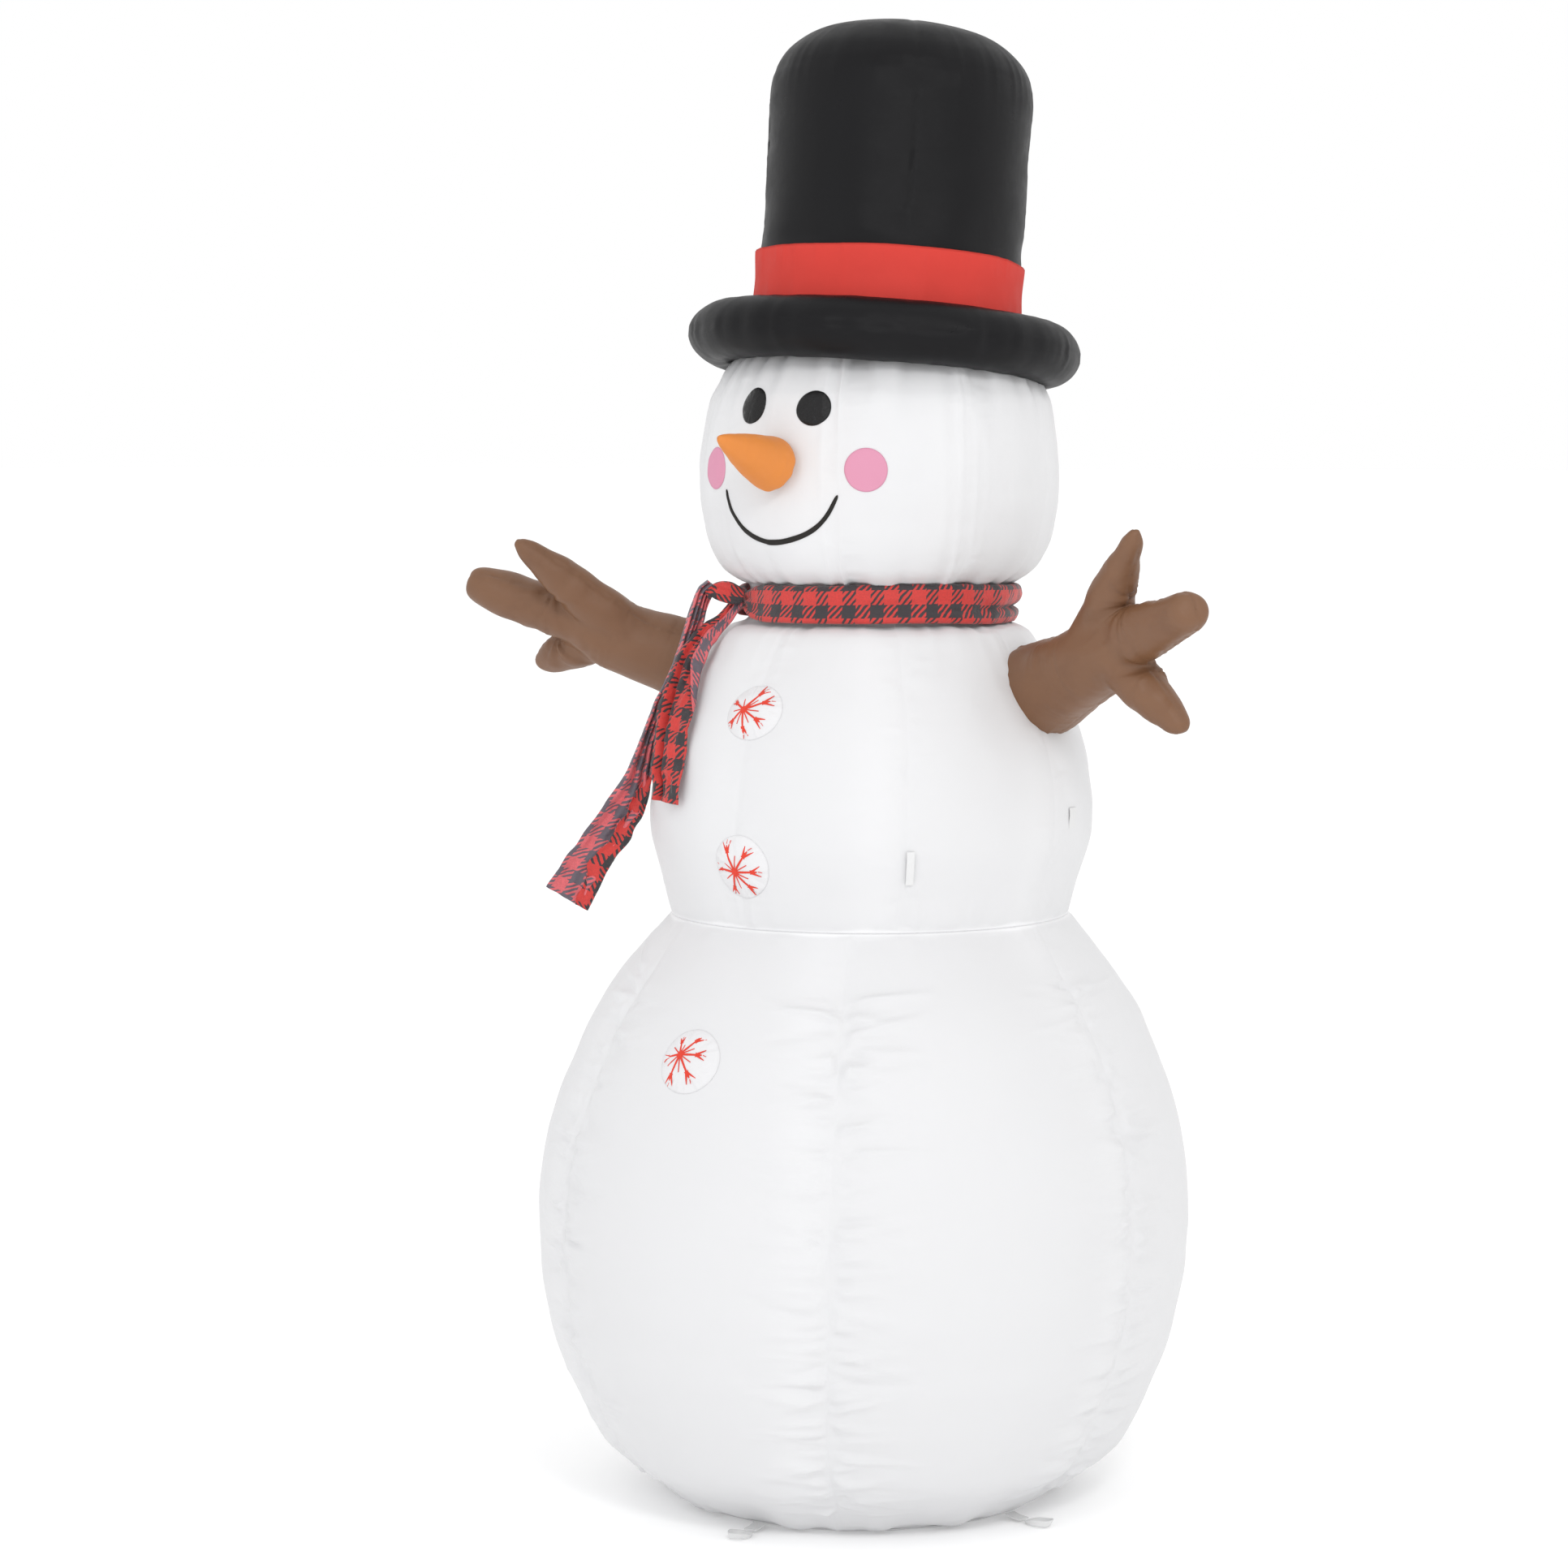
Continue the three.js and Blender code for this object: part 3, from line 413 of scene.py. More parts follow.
class Chamber:
    """One sewn air chamber: a surface of revolution plus the relief that its panels, seams and gathers give it."""

    def __init__(self, prof, seams, seed, scallop, pucker, low=(0, 0, 0), high=(0, 0, 0), flat=None, pucker_len=.055, extra=None, groove=.0012, lines=None, vee=0.0):
        self.groove, self.lines, self.vee = groove, lines, vee
        c = catmull(prof, 24)
        s = np.concatenate([[0], np.cumsum(np.linalg.norm(np.diff(c, axis=0), axis=1))])
        self.L = s[-1]
        self.s, self.r, self.z = s, c[:, 0], c[:, 1]
        self.seams = np.asarray(seams, float) * D2R
        self.seed, self.scallop, self.pucker, self.low, self.high, self.flat = seed, scallop, pucker, low, high, flat
        self.pucker_len = pucker_len
        self.extra = extra

    def of_z(self, z):
        return np.interp(z, self.z, self.s)

    def base(self, az, s):
        r, z = np.interp(s, self.s, self.r), np.interp(s, self.s, self.z)
        e = 0.004
        dr = np.interp(s + e, self.s, self.r) - np.interp(s - e, self.s, self.r)
        dz = np.interp(s + e, self.s, self.z) - np.interp(s - e, self.s, self.z)
        l = np.maximum(np.hypot(dr, dz), 1e-9)
        nr, nz = dz / l, -dr / l
        sa, ca = np.sin(az), np.cos(az)
        return np.stack([r * sa, -r * ca, z], -1), np.stack([nr * sa, -nr * ca, nz], -1), r, z

    def relief(self, az, s, r, z):
        k = self.seed
        seams = self.seams
        n = len(seams)
        wig = 0.006 * n1(s, .25, k + 1)
        dd = (az[..., None] - seams + PI) % (2 * PI) - PI
        i = np.argmin(np.abs(dd), -1)
        d = np.take_along_axis(dd, i[..., None], -1)[..., 0] * r + wig
        half = PI / n * r
        q = np.clip(np.abs(d) / half, 0, 1)
        mid = np.clip(s / .10, 0, 1) * np.clip((self.L - s) / .10, 0, 1)
        out = self.scallop * mid * (np.sin(q * PI / 2) - 0.70)
        out -= self.vee * np.exp(-np.abs(d) / .050) * mid
        ad = np.abs(d)
        out -= self.groove * np.exp(-(ad / .0075) ** 2) * np.clip(s / .02, 0, 1)
        side = np.where(d > 0, 0, 17)
        amp = .55 + .45 * n1(s + i * 3.3, .13, k + 5)
        lp = self.pucker_len
        sh = s + .10 * ad * n1(s + side, .2, k + 6)
        p1 = n1(sh + side * 1.7 + i * 5.1, .013, k + 7)
        p2 = n1(sh + side * 2.9 + i * 7.7, .024, k + 8)
        p3 = n1(sh + side * 0.9 + i * 9.3, .047, k + 9)
        soft = 1 - np.exp(-(ad / .010) ** 2)
        out += soft * self.pucker * amp * (0.45 * p1 * np.exp(-ad / (lp * .35)) + 0.9 * ridged(p2) * np.exp(-ad / (lp * .7)) + 0.9 * p3 * np.exp(-ad / (lp * 1.5)))
        out += self.creases(i, d, ad, s)
        al = az * .5
        for (h, w, wl), t in ((self.low, s), (self.high, self.L - s)):
            if h:
                m = max(3, int(round(2 * PI * .3 / wl)))
                g = n2(az / (2 * PI) * m, t / (3 * w), 1, 1, k + 21, m)
                g2 = n2(az / (2 * PI) * (2 * m), t / (2 * w), 1, 1, k + 22, 2 * m)
                out += h * (ridged(g) * .8 * np.exp(-t / w) + .28 * g2 * np.exp(-t / (w * .45))) * np.clip(t / .012, 0, 1)
        m = 9
        out += .0022 * n2(az / (2 * PI) * m, s / .17, 1, 1, k + 31, m) * mid
        out += .0009 * n2(az / (2 * PI) * 40, s / .045, 1, 1, k + 32, 40) * mid
        if self.extra is not None:
            out = out + self.extra(az, s, r, z)
        if self.flat is not None:
            out = out * self.flat(az, s, r, z)
        out = out * np.clip(s / .010, 0, 1) * np.clip((self.L - s) / .010, 0, 1)
        # mask of the chamber's ends, for the painted glow and painted highlight in the fold between chambers
        edge = np.exp(-(np.minimum(s, self.L - s) / .006) ** 2)
        # second value: the painted highlight mask on one side of each seam, plus twice the chamber-end mask for the
        # painted glow
        return out, np.clip(np.exp(-((d + .048) / .042) ** 2) * np.clip(-d / .003, 0, 1), 0, 1) + 2 * edge

    def creases(self, i, d, ad, s):
        """Separate gathers that run out from each seam: narrow ridges of their own length, tilt and height."""
        out = np.zeros(np.shape(s))
        if not self.lines:
            return out
        count, length, tall = self.lines
        for j in range(len(self.seams)):
            for sg in (1, -1):
                g = np.random.default_rng(self.seed * 100 + j * 2 + (sg > 0))
                m = (i == j) & (d * sg >= 0) & (ad < length * 1.7)
                if not m.any():
                    continue
                a, t = ad[m], s[m]
                acc = np.zeros(a.shape)
                for _ in range(count):
                    c = g.uniform(.07, .90) * self.L
                    ln = length * g.uniform(.35, 1.5)
                    tilt = g.normal(0, .16)
                    wd = g.uniform(.0045, .0115)
                    h = tall * g.choice([1, 1, -.8]) * g.uniform(.35, 1.0)
                    bend = g.normal(0, .9)
                    st = g.uniform(-.2, .25) * ln
                    x = t - c - tilt * a - bend * a * a
                    along = np.clip((a - max(st, 0.0)) / .014, 0, 1) * np.clip(1 - (a - st) / ln, 0, 1) ** .8
                    acc += h * np.exp(-(x / wd) ** 2) * along
                out[m] = acc
        return out

    def at(self, az, s, off=0.0, with_seam=False):
        az, s = np.broadcast_arrays(np.asarray(az, float), np.asarray(s, float))
        p, n, r, z = self.base(az, s)
        h, seam = self.relief(az, s, r, z)
        q = leaned(p + n * (h + off)[..., None])
        return (q, seam) if with_seam else q

    def mesh(self, name, per_panel, rows, mat, crowd=.75, cap=True):
        az = []
        se = np.sort(self.seams % (2 * PI))
        for a, b in zip(se, np.append(se[1:], se[0] + 2 * PI)):
            u = np.arange(per_panel) / per_panel
            az.append(a + (b - a) * (u - crowd * np.sin(2 * PI * u) / (2 * PI)))
        az = np.concatenate(az)
        s = np.linspace(0, self.L, rows)
        A, S = np.meshgrid(az, s, indexing="ij")
        P, seam = self.at(A, S, 0.0, True)
        P[..., 2] = np.maximum(P[..., 2], .0035)
        nu, nv = A.shape
        f = quads(nu, nv, wrap_u=True)
        V = P.reshape(-1, 3)
        seam = seam.ravel()
        if cap:
            lo = V.reshape(nu, nv, 3)[:, 0].mean(0)
            hi = V.reshape(nu, nv, 3)[:, -1].mean(0)
            n0 = len(V)
            V = np.vstack([V, lo, hi])
            seam = np.append(seam, [0, 0])
            i = np.arange(nu)
            tri0 = np.stack([i * nv, np.full(nu, n0), ((i + 1) % nu) * nv], -1)
            tri1 = np.stack([((i + 1) % nu) * nv + nv - 1, np.full(nu, n0 + 1), i * nv + nv - 1], -1)
            faces = [tuple(x) for x in f] + [tuple(x) for x in tri0] + [tuple(x) for x in tri1]
        else:
            faces = f
        # the seam attribute carries the painted highlight and painted glow masks
        return make(name, V, faces, mats=[mat], attrs={"seam": seam})


def fan_local(p):
    """Distance from the fan's axis, and height along it."""
    y0 = .4857
    o = np.array([0, y0, FAN_Z])
    ax = np.array([0, math.cos(FAN_TILT), -math.sin(FAN_TILT)])
    d = p - o
    w = d @ ax
    return np.linalg.norm(d - w[..., None] * ax, axis=-1), w


def calm_fan(az, s, r, z):
    p = np.stack([r * np.sin(az), -r * np.cos(az), z], -1)
    d, w = fan_local(p)
    near = np.where(p[..., 1] > 0, d, 9.0)
    return np.clip((near - .098) / .05, 0, 1)


lower = Chamber(LOWER, [30, 90, 150, -150, -90, -30], 11, .010, .0030, low=(.0060, .13, .042), high=(.0026, .050, .03), flat=calm_fan, pucker_len=.06, groove=.0, lines=(104, .100, .0056), vee=.0035)
torso = Chamber(TORSO, [0, 45, 90, 135, 180, -135, -90, -45], 41, .0028, .0012, low=(.0026, .045, .03), high=(.0050, .06, .035), pucker_len=.035, groove=.0006, lines=(16, .045, .0020))
head = Chamber(HEAD, [22, 67, 112, 157, -158, -113, -68, -23], 71, .0012, .0010, low=(.0070, .064, .026), high=(.0105, .085, .026), pucker_len=.03, groove=.0, lines=(14, .040, .0013))


def ride(ob, body="snowman", replaces=()):
    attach(ob, body)
    if replaces:
        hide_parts(*replaces)
    return ob


low_ob = lower.mesh("lower_body_cloth", 52, 316, WHITE)
# the opening in the cloth behind the blower's flange
me = low_ob.data
co = np.zeros(len(me.vertices) * 3, dtype=np.float32)
me.vertices.foreach_get("co", co)
co = co.reshape(-1, 3)
dist, w = fan_local(co)
inside = (dist < .083) & (co[:, 1] > .3) & (w > -.08)
import bmesh
bm = bmesh.new()
bm.from_mesh(me)
bm.verts.ensure_lookup_table()
bmesh.ops.delete(bm, geom=[bm.verts[i] for i in np.where(inside)[0]], context='VERTS')
bm.to_mesh(me)
bm.free()
ride(low_ob, replaces=("lower_body_shell",))
ride(torso.mesh("torso_cloth", 46, 200, WHITE), replaces=("torso_shell",))

# the head's rows above the hat's roll go inside the hat
ride(head.mesh("head_cloth", 46, 190, WHITE), replaces=("head_shell",))


# ------------------------------------------------------------------ hat
def ring_grid(az, prof_rz):
    """Grid over azimuth and a closed or open profile given per point (r, z arrays broadcast)."""
    r, z = prof_rz
    return np.stack([r * np.sin(az), -r * np.cos(az), z], -1)


def hat_brim():
    R, ro = .267, .0485
    az = np.linspace(0, 2 * PI, 300, endpoint=False)
    ph = np.linspace(-158, 158, 56) * D2R
    A, F = np.meshgrid(az, ph, indexing="ij")
    rr = ro * (1 + .045 * n2(A / (2 * PI) * 13, F, 1, 1.3, 501, 13))
    dseam = np.abs(F) * ro                      # the roll's outer seam, at its widest
    pk = ridged(n2(A / (2 * PI) * 64, F, 1, 2.0, 502, 64))
    pk2 = n2(A / (2 * PI) * 130, F, 1, 2.0, 503, 130)
    rr = rr + .0024 * pk * np.exp(-dseam / .026) + .0012 * pk2 * np.exp(-dseam / .012) - .002 * np.exp(-(dseam / .003) ** 2)
    inn = np.abs(np.abs(F) - 140 * D2R) * ro
    g = ridged(n2(A / (2 * PI) * 44, F, 1, 2.0, 504, 44))
    rr = rr + .0030 * g * np.exp(-inn / .030)
    r = R + rr * np.cos(F)
    z = rr * np.sin(F) * 1.0
    P = ring_grid(A, (r, z))
    seam = np.exp(-(dseam / .002) ** 2)
    # a thin second face inside, so the roll is a closed skin that opens inwards
    ri = rr - .002
    Q = ring_grid(A, (R + ri * np.cos(F), ri * np.sin(F)))
    nu, nv = A.shape
    V = np.vstack([P.reshape(-1, 3), Q.reshape(-1, 3)])
    n = nu * nv
    f = [quads(nu, nv, wrap_u=True), quads(nu, nv, wrap_u=True, off=n, flip=True)]
    i = np.arange(nu)
    j = (i + 1) % nu
    f.append(np.stack([i * nv, n + i * nv, n + j * nv, j * nv], -1)[:, ::-1])
    f.append(np.stack([i * nv + nv - 1, j * nv + nv - 1, n + j * nv + nv - 1, n + i * nv + nv - 1], -1)[:, ::-1])
    return make("hat_brim_roll", transform(V, HAT), np.vstack(f), mats=[BLACK], attrs={"seam": np.append(seam.ravel(), seam.ravel() * 0)})


ride(hat_brim(), replaces=("hat_brim",))


def hat_crown():
    prof = catmull([(.2115, .002), (.2125, .06), (.212, .14), (.2115, .20), (.2125, .30), (.2140, .37), (.2120, .407), (.2050, .438), (.1845, .469),
                    (.143, .498), (.083, .5145), (.03, .5215), (.0015, .522)], 10)
    az = np.linspace(0, 2 * PI, 288, endpoint=False)
    s = np.concatenate([[0], np.cumsum(np.linalg.norm(np.diff(prof, axis=0), axis=1))])
    S = np.linspace(0, s[-1], 118)
    A, T = np.meshgrid(az, S, indexing="ij")
    r, z = np.interp(T, s, prof[:, 0]), np.interp(T, s, prof[:, 1])
    seams = np.array([42, 132, -138, -48]) * D2R
    dd = (A[..., None] - seams + PI) % (2 * PI) - PI
    i = np.argmin(np.abs(dd), -1)
    d = np.take_along_axis(dd, i[..., None], -1)[..., 0] * np.maximum(r, .03)
    ad = np.abs(d)
    h = -.0009 * np.exp(-(ad / .006) ** 2)
    pk = n1(T + i * 3.1 + np.where(d > 0, 9, 0), .021, 601)
    pk2 = n1(T + i * 5.3 + np.where(d > 0, 4, 0), .045, 602)
    side = np.clip((.43 - z) / .05, 0, 1) * np.clip((z - .15) / .03, 0, 1)
    h += side * (.0013 * ridged(pk) * np.exp(-ad / .020) + .0018 * pk2 * np.exp(-ad / .05))
    # the top panel's seam, with short gathers either side
    ds = z - .428
    up = n2(A / (2 * PI) * 56, z * 0, 1, 1, 603, 56)
    h += np.exp(-np.abs(ds) / .030) * .0009 * ridged(up) * np.clip((r - .05) / .1, 0, 1) - .0010 * np.exp(-(ds / .005) ** 2)
    # slack folds low down, above the band
    g = n2(A / (2 * PI) * 13, z / .09, 1, 1, 604, 13)
    h += .0035 * g * np.exp(-np.abs(z - .16) / .07) * np.clip((z - .139) / .01, 0, 1)
    h += .0028 * n2(A / (2 * PI) * 9, z / .11, 1, 1, 605, 9) * side
    r2 = np.maximum(r + h, .0008)
    P = ring_grid(A, (r2, z + np.where(z > .44, h, 0)))
    nu, nv = A.shape
    seam = np.exp(-(ad / .002) ** 2) + np.exp(-(ds / .002) ** 2)
    V = P.reshape(-1, 3)
    f = [tuple(x) for x in quads(nu, nv, wrap_u=True)]
    n0 = len(V)
    V = np.vstack([V, [[0, 0, .523]], [[0, 0, .002]]])
    for i in range(nu):
        j = (i + 1) % nu
        f.append((i * nv + nv - 1, j * nv + nv - 1, n0))
        f.append((j * nv, i * nv, n0 + 1))
    return make("hat_crown_cloth", transform(V, HAT), f, mats=[BLACK], attrs={"seam": np.append(np.clip(seam.ravel(), 0, 1), [0, 0])})


ride(hat_crown(), replaces=("hat_crown",))


def hat_band():
    az = np.linspace(0, 2 * PI, 320, endpoint=False)
    v = np.linspace(0, 1, 22)
    A, V_ = np.meshgrid(az, v, indexing="ij")
    low = .0475 + .0018 * n1(A * .215, .05, 701) * 1.0
    low = np.where(A > 0, low, low)
    z = low + (.1385 - low) * V_ + .0022 * n2(A / (2 * PI) * 9, V_ * 0, 1, 1, 702, 9) * V_
    m = 26
    h = .0016 * n2(A / (2 * PI) * m, V_ * 1.2, 1, 1, 703, m) + .0012 * ridged(n2(A / (2 * PI) * 60, V_ * 1.0, 1, 1, 704, 60)) * np.abs(V_ - .5) * 2
    h += .0008 * np.cos(V_ * 2 * PI)
    r = .2165 + h + .0012
    P = ring_grid(A, (r, z))
    Q = ring_grid(A, (np.full_like(r, .2139), z))
    nu, nv = A.shape
    n = nu * nv
    V = np.vstack([P.reshape(-1, 3), Q.reshape(-1, 3)])
    f = [quads(nu, nv, wrap_u=True), quads(nu, nv, wrap_u=True, off=n, flip=True)]
    i = np.arange(nu)
    j = (i + 1) % nu
    f.append(np.stack([i * nv, n + i * nv, n + j * nv, j * nv], -1)[:, ::-1])
    f.append(np.stack([i * nv + nv - 1, j * nv + nv - 1, n + j * nv + nv - 1, n + i * nv + nv - 1], -1)[:, ::-1])
    return make("hat_band_cloth", transform(V, HAT), np.vstack(f), mats=[RED], attrs={"seam": np.zeros(2 * n)})


band = ride(hat_band(), replaces=("hat_band",))


# ------------------------------------------------------------------ sewn and printed patches
def patch(name, ch, az0, z0, w, h, puff, mats, tilt=0.0, base=.0009, rings=14, seg=72, edge_pucker=0.0, seed=900, power=2.0, slot=None, rep=None, wobble=.012, dome=.62):
    """An oval laid on a chamber's surface: a low cushion with a turned edge."""
    s0 = float(ch.of_z(z0))
    _, _, r0, _ = ch.base(np.array(az0 * D2R), np.array(s0))
    rho = np.linspace(0, 1, rings + 1)[1:]
    th = np.linspace(0, 2 * PI, seg, endpoint=False)
    T, Rr = np.meshgrid(th, rho, indexing="ij")
    rim = 1 + wobble * n2(T / (2 * PI) * 9, T * 0, 1, 1, seed, 9)
    u = Rr * rim * np.cos(T) * w / 2
    v = Rr * rim * np.sin(T) * h / 2
    c, s_ = math.cos(tilt * D2R), math.sin(tilt * D2R)
    U, Vv = u * c - v * s_, u * s_ + v * c
    prof = (1 - Rr ** power)
    hgt = base + puff * prof ** dome
    if edge_pucker:
        m = 34
        pk = ridged(n2(T / (2 * PI) * m, Rr * 1.2, 1, 1, seed + 1, m))
        pk2 = n2(T / (2 * PI) * 15, Rr * 1.5, 1, 1, seed + 2, 15)
        hgt = hgt + edge_pucker * (pk * Rr ** 3 * (1 - Rr) ** .35 * 1.6 + .7 * pk2 * Rr * (1 - Rr))
    # a cushion on the chamber: the patch's faces ride on the chamber's own surface, relief included
    top = ch.at(az0 * D2R + U / r0, s0 + Vv, hgt)
    bot = ch.at(az0 * D2R + U / r0, s0 + Vv, .0002 + 0 * hgt)
    ctop = ch.at(np.array(az0 * D2R), np.array(s0), np.array(base + puff))
    cbot = ch.at(np.array(az0 * D2R), np.array(s0), np.array(.0002))
    nu, nv = T.shape
    n = nu * nv
    V = np.vstack([top.reshape(-1, 3), bot.reshape(-1, 3), ctop[None], cbot[None]])
    f = [tuple(x) for x in quads(nu, nv, wrap_u=True, flip=True)] + [tuple(x) for x in quads(nu, nv, wrap_u=True, off=n)]
    for i in range(nu):
        j = (i + 1) % nu
        f.append((i * nv + nv - 1, n + i * nv + nv - 1, n + j * nv + nv - 1, j * nv + nv - 1)[::-1])
        f.append((2 * n, i * nv, j * nv)[::1])
        f.append((2 * n + 1, n + j * nv, n + i * nv)[::1])
    seam = np.concatenate([np.exp(-((1 - Rr.ravel()) / .03) ** 2), np.zeros(n), [0, 0]])
    ob = make(name, V, f, mats=mats, attrs={"seam": seam})
    bm = bmesh.new()
    bm.from_mesh(ob.data)
    bmesh.ops.recalc_face_normals(bm, faces=bm.faces)
    bm.to_mesh(ob.data)
    bm.free()

    def surf(x, y, off):
        """A point at x, y (metres, in the patch's own plane) on its top face."""
        x, y = np.asarray(x, float), np.asarray(y, float)
        X, Y = x * c - y * s_, x * s_ + y * c
        rr = np.sqrt((x / (w / 2)) ** 2 + (y / (h / 2)) ** 2)
        hh = base + puff * np.clip(1 - rr ** power, 0, 1) ** dome
        return ch.at(az0 * D2R + X / r0, s0 + Y, hh + off)
    return ob, surf


for n, sg in (("left", 1), ("right", -1)):
    ea, ez, ew, eh = (14.0, 1.7736, .0575, .0560) if sg > 0 else (-9.6, 1.778, .0500, .0580)
    e, _ = patch("eye_%s_patch" % n, head, ea, ez, ew, eh, .0030, [EYE], tilt=-4, edge_pucker=.001, seed=910 + sg, power=3)
    ride(e, replaces=("eye_" + n,))
    ca, cz, cw, ch_ = (31.9, 1.678, .068, .068) if sg > 0 else (-27.2, 1.680, .064, .067)
    e, _ = patch("cheek_%s_patch" % n, head, ca, cz, cw, ch_, .0010, [PINK], seed=920 + sg, power=4)
    ride(e, replaces=("cheek_" + n,))


def ribbon(name, ch, pts, width, thick, mat, n=60, lift=.0012, closed_ends=True, taper=True, at=None):
    """A stroke's points, resampled evenly along it: pts are (azimuth degrees, height) or local x, y for a patch."""
    p = catmull(pts, 12) if len(pts) > 2 else np.linspace(pts[0], pts[1], n)
    s = np.concatenate([[0], np.cumsum(np.linalg.norm(np.diff(p, axis=0), axis=1))])
    t = np.linspace(0, s[-1], n)
    q = np.stack([np.interp(t, s, p[:, k]) for k in (0, 1)], -1)
    return q, t / s[-1]


def mouth():
    pts = [(-20.2, 1.6466), (-19.8, 1.634), (-18.6, 1.6189), (-17.2, 1.605), (-14.9, 1.5918), (-11.9, 1.5802), (-8.3, 1.5717), (-4.2, 1.5648), (-.5, 1.5634), (3.6, 1.5657), (7.3, 1.5696),
           (10.6, 1.5744), (13.7, 1.5811), (16.3, 1.5895), (18.5, 1.5997), (20.3, 1.6112), (21.7, 1.6237), (22.5, 1.6353), (23.1, 1.6388)]
    p = catmull(pts, 8)
    r0 = .287
    m = np.stack([p[:, 0] * D2R * r0, p[:, 1]], -1)
    s = np.concatenate([[0], np.cumsum(np.linalg.norm(np.diff(m, axis=0), axis=1))])
    t = np.linspace(0, s[-1], 130)
    c = np.stack([np.interp(t, s, m[:, k]) for k in (0, 1)], -1)
    for _ in range(60):
        c[1:-1] = c[1:-1] * .4 + (c[:-2] + c[2:]) * .3
    d = np.gradient(c, axis=0)
    d /= np.linalg.norm(d, axis=1)[:, None]
    nrm = np.stack([-d[:, 1], d[:, 0]], -1)
    u = t / s[-1]
    hw = (.0027 + .0012 * np.sin(PI * u)) * np.sqrt(np.clip(1 - (2 * u - 1) ** 26, 0, 1)) + .0002
    hw = hw * (1 + .08 * n1(t, .02, 950))
    k = 9
    V = []
    a = np.linspace(-1, 1, k)
    x = c[:, None, :] + nrm[:, None, :] * (a[None, :, None] * hw[:, None, None])
    top = head.at(x[..., 0] / r0, head.of_z(x[..., 1]), .0010 + .0010 * np.sqrt(np.clip(1 - a ** 2, 0, 1))[None, :] + 0 * x[..., 0])
    bot = head.at(x[..., 0] / r0, head.of_z(x[..., 1]), .0002)
    nu, nv = len(t), k
    n = nu * nv
    V = np.vstack([top.reshape(-1, 3), bot.reshape(-1, 3)])
    f = [quads(nu, nv), quads(nu, nv, off=n, flip=True)]
    i = np.arange(nu - 1)
    f.append(np.stack([i * nv, n + i * nv, n + (i + 1) * nv, (i + 1) * nv], -1))
    f.append(np.stack([i * nv + nv - 1, (i + 1) * nv + nv - 1, n + (i + 1) * nv + nv - 1, n + i * nv + nv - 1], -1))
    j = np.arange(nv - 1)
    f.append(np.stack([j, j + 1, n + j + 1, n + j], -1))
    f.append(np.stack([(nu - 1) * nv + j, n + (nu - 1) * nv + j, n + (nu - 1) * nv + j + 1, (nu - 1) * nv + j + 1], -1))
    ob = make("mouth_line", V, np.vstack(f), mats=[INK], attrs={"seam": np.zeros(2 * n)})
    fix_normals(ob)
    return ob


def fix_normals(ob):
    bm = bmesh.new()
    bm.from_mesh(ob.data)
    bmesh.ops.recalc_face_normals(bm, faces=bm.faces)
    bm.to_mesh(ob.data)
    bm.free()


ride(mouth(), replaces=("mouth",))


# buttons with a printed snowflake
def flake(name, surf, cx, cy, arms, size):
    """A six-armed crystal printed in thin lines: arms are (direction degrees, length) in the patch's plane."""
    strokes = []                                 # (start, end, half width at start, at end)
    n = len(arms)
    for k, (ang, L) in enumerate(arms):
        a = ang * D2R
        d = np.array([math.cos(a), math.sin(a)])
        while math.hypot((cx + d[0] * L) / (size[0] / 2), (cy + d[1] * L) / (size[1] / 2)) > .95:
            L -= .0005
        q = np.array([-d[1], d[0]])
        strokes.append((0 * d, d * L * .66, .0019, .0014))
        strokes.append((d * L * .62, d * L * .86, .0036, .0007))
        for sg in (-1, 1):
            strokes.append((d * L * .64, d * L * .97 + q * sg * L * .17, .0022, .0005))
        strokes.append((d * L * .90, d * L * 1.02 - q * L * .04, .0006, .0004))
        nxt = arms[(k + 1) % n][0]
        gap = ((nxt - ang) + 180) % 360 - 180
        a2 = (ang + gap / 2) * D2R
        e = np.array([math.cos(a2), math.sin(a2)])
        strokes.append((0 * e, e * L * .55, .0010, .0007))
    V, F = [], []
    for (p0, p1, w0, w1) in strokes:
        n = 7
        t = np.linspace(0, 1, n)
        c = p0[None] * (1 - t[:, None]) + p1[None] * t[:, None]
        d = (p1 - p0) / np.linalg.norm(p1 - p0)
        q = np.array([-d[1], d[0]])
        hw = w0 + (w1 - w0) * t
        L_ = c + q * hw[:, None]
        R_ = c - q * hw[:, None]
        for side, off in ((L_, .0007), (R_, .0007), (R_, .0001), (L_, .0001)):
            V.append(surf(cx + side[:, 0], cy + side[:, 1], off))
        base = sum(len(v) for v in V[:-4])
        for i in range(n - 1):
            for a_, b_ in ((0, 1), (1, 2), (2, 3), (3, 0)):
                F.append((base + a_ * n + i, base + b_ * n + i, base + b_ * n + i + 1, base + a_ * n + i + 1))
        F.append((base, base + 3 * n, base + 2 * n, base + n))
        F.append((base + n - 1, base + n + n - 1, base + 2 * n + n - 1, base + 3 * n + n - 1))
    m = 14
    th = np.linspace(0, 2 * PI, m, endpoint=False)
    hub = .0050
    base = sum(len(v) for v in V)
    for off in (.0001, .0009):
        V.append(surf(cx + hub * np.cos(th), cy + hub * np.sin(th), off))
    V.append(surf(np.array([cx, cx]), np.array([cy, cy]), np.array([.0001, .0010])))
    for i in range(m):
        j = (i + 1) % m
        F += [(base + i, base + j, base + m + j, base + m + i), (base + m + i, base + m + j, base + 2 * m + 1), (base + j, base + i, base + 2 * m)]
    ob = make(name, np.vstack(V), F, smooth=False, mats=[PRINT])
    fix_normals(ob)
    return ob


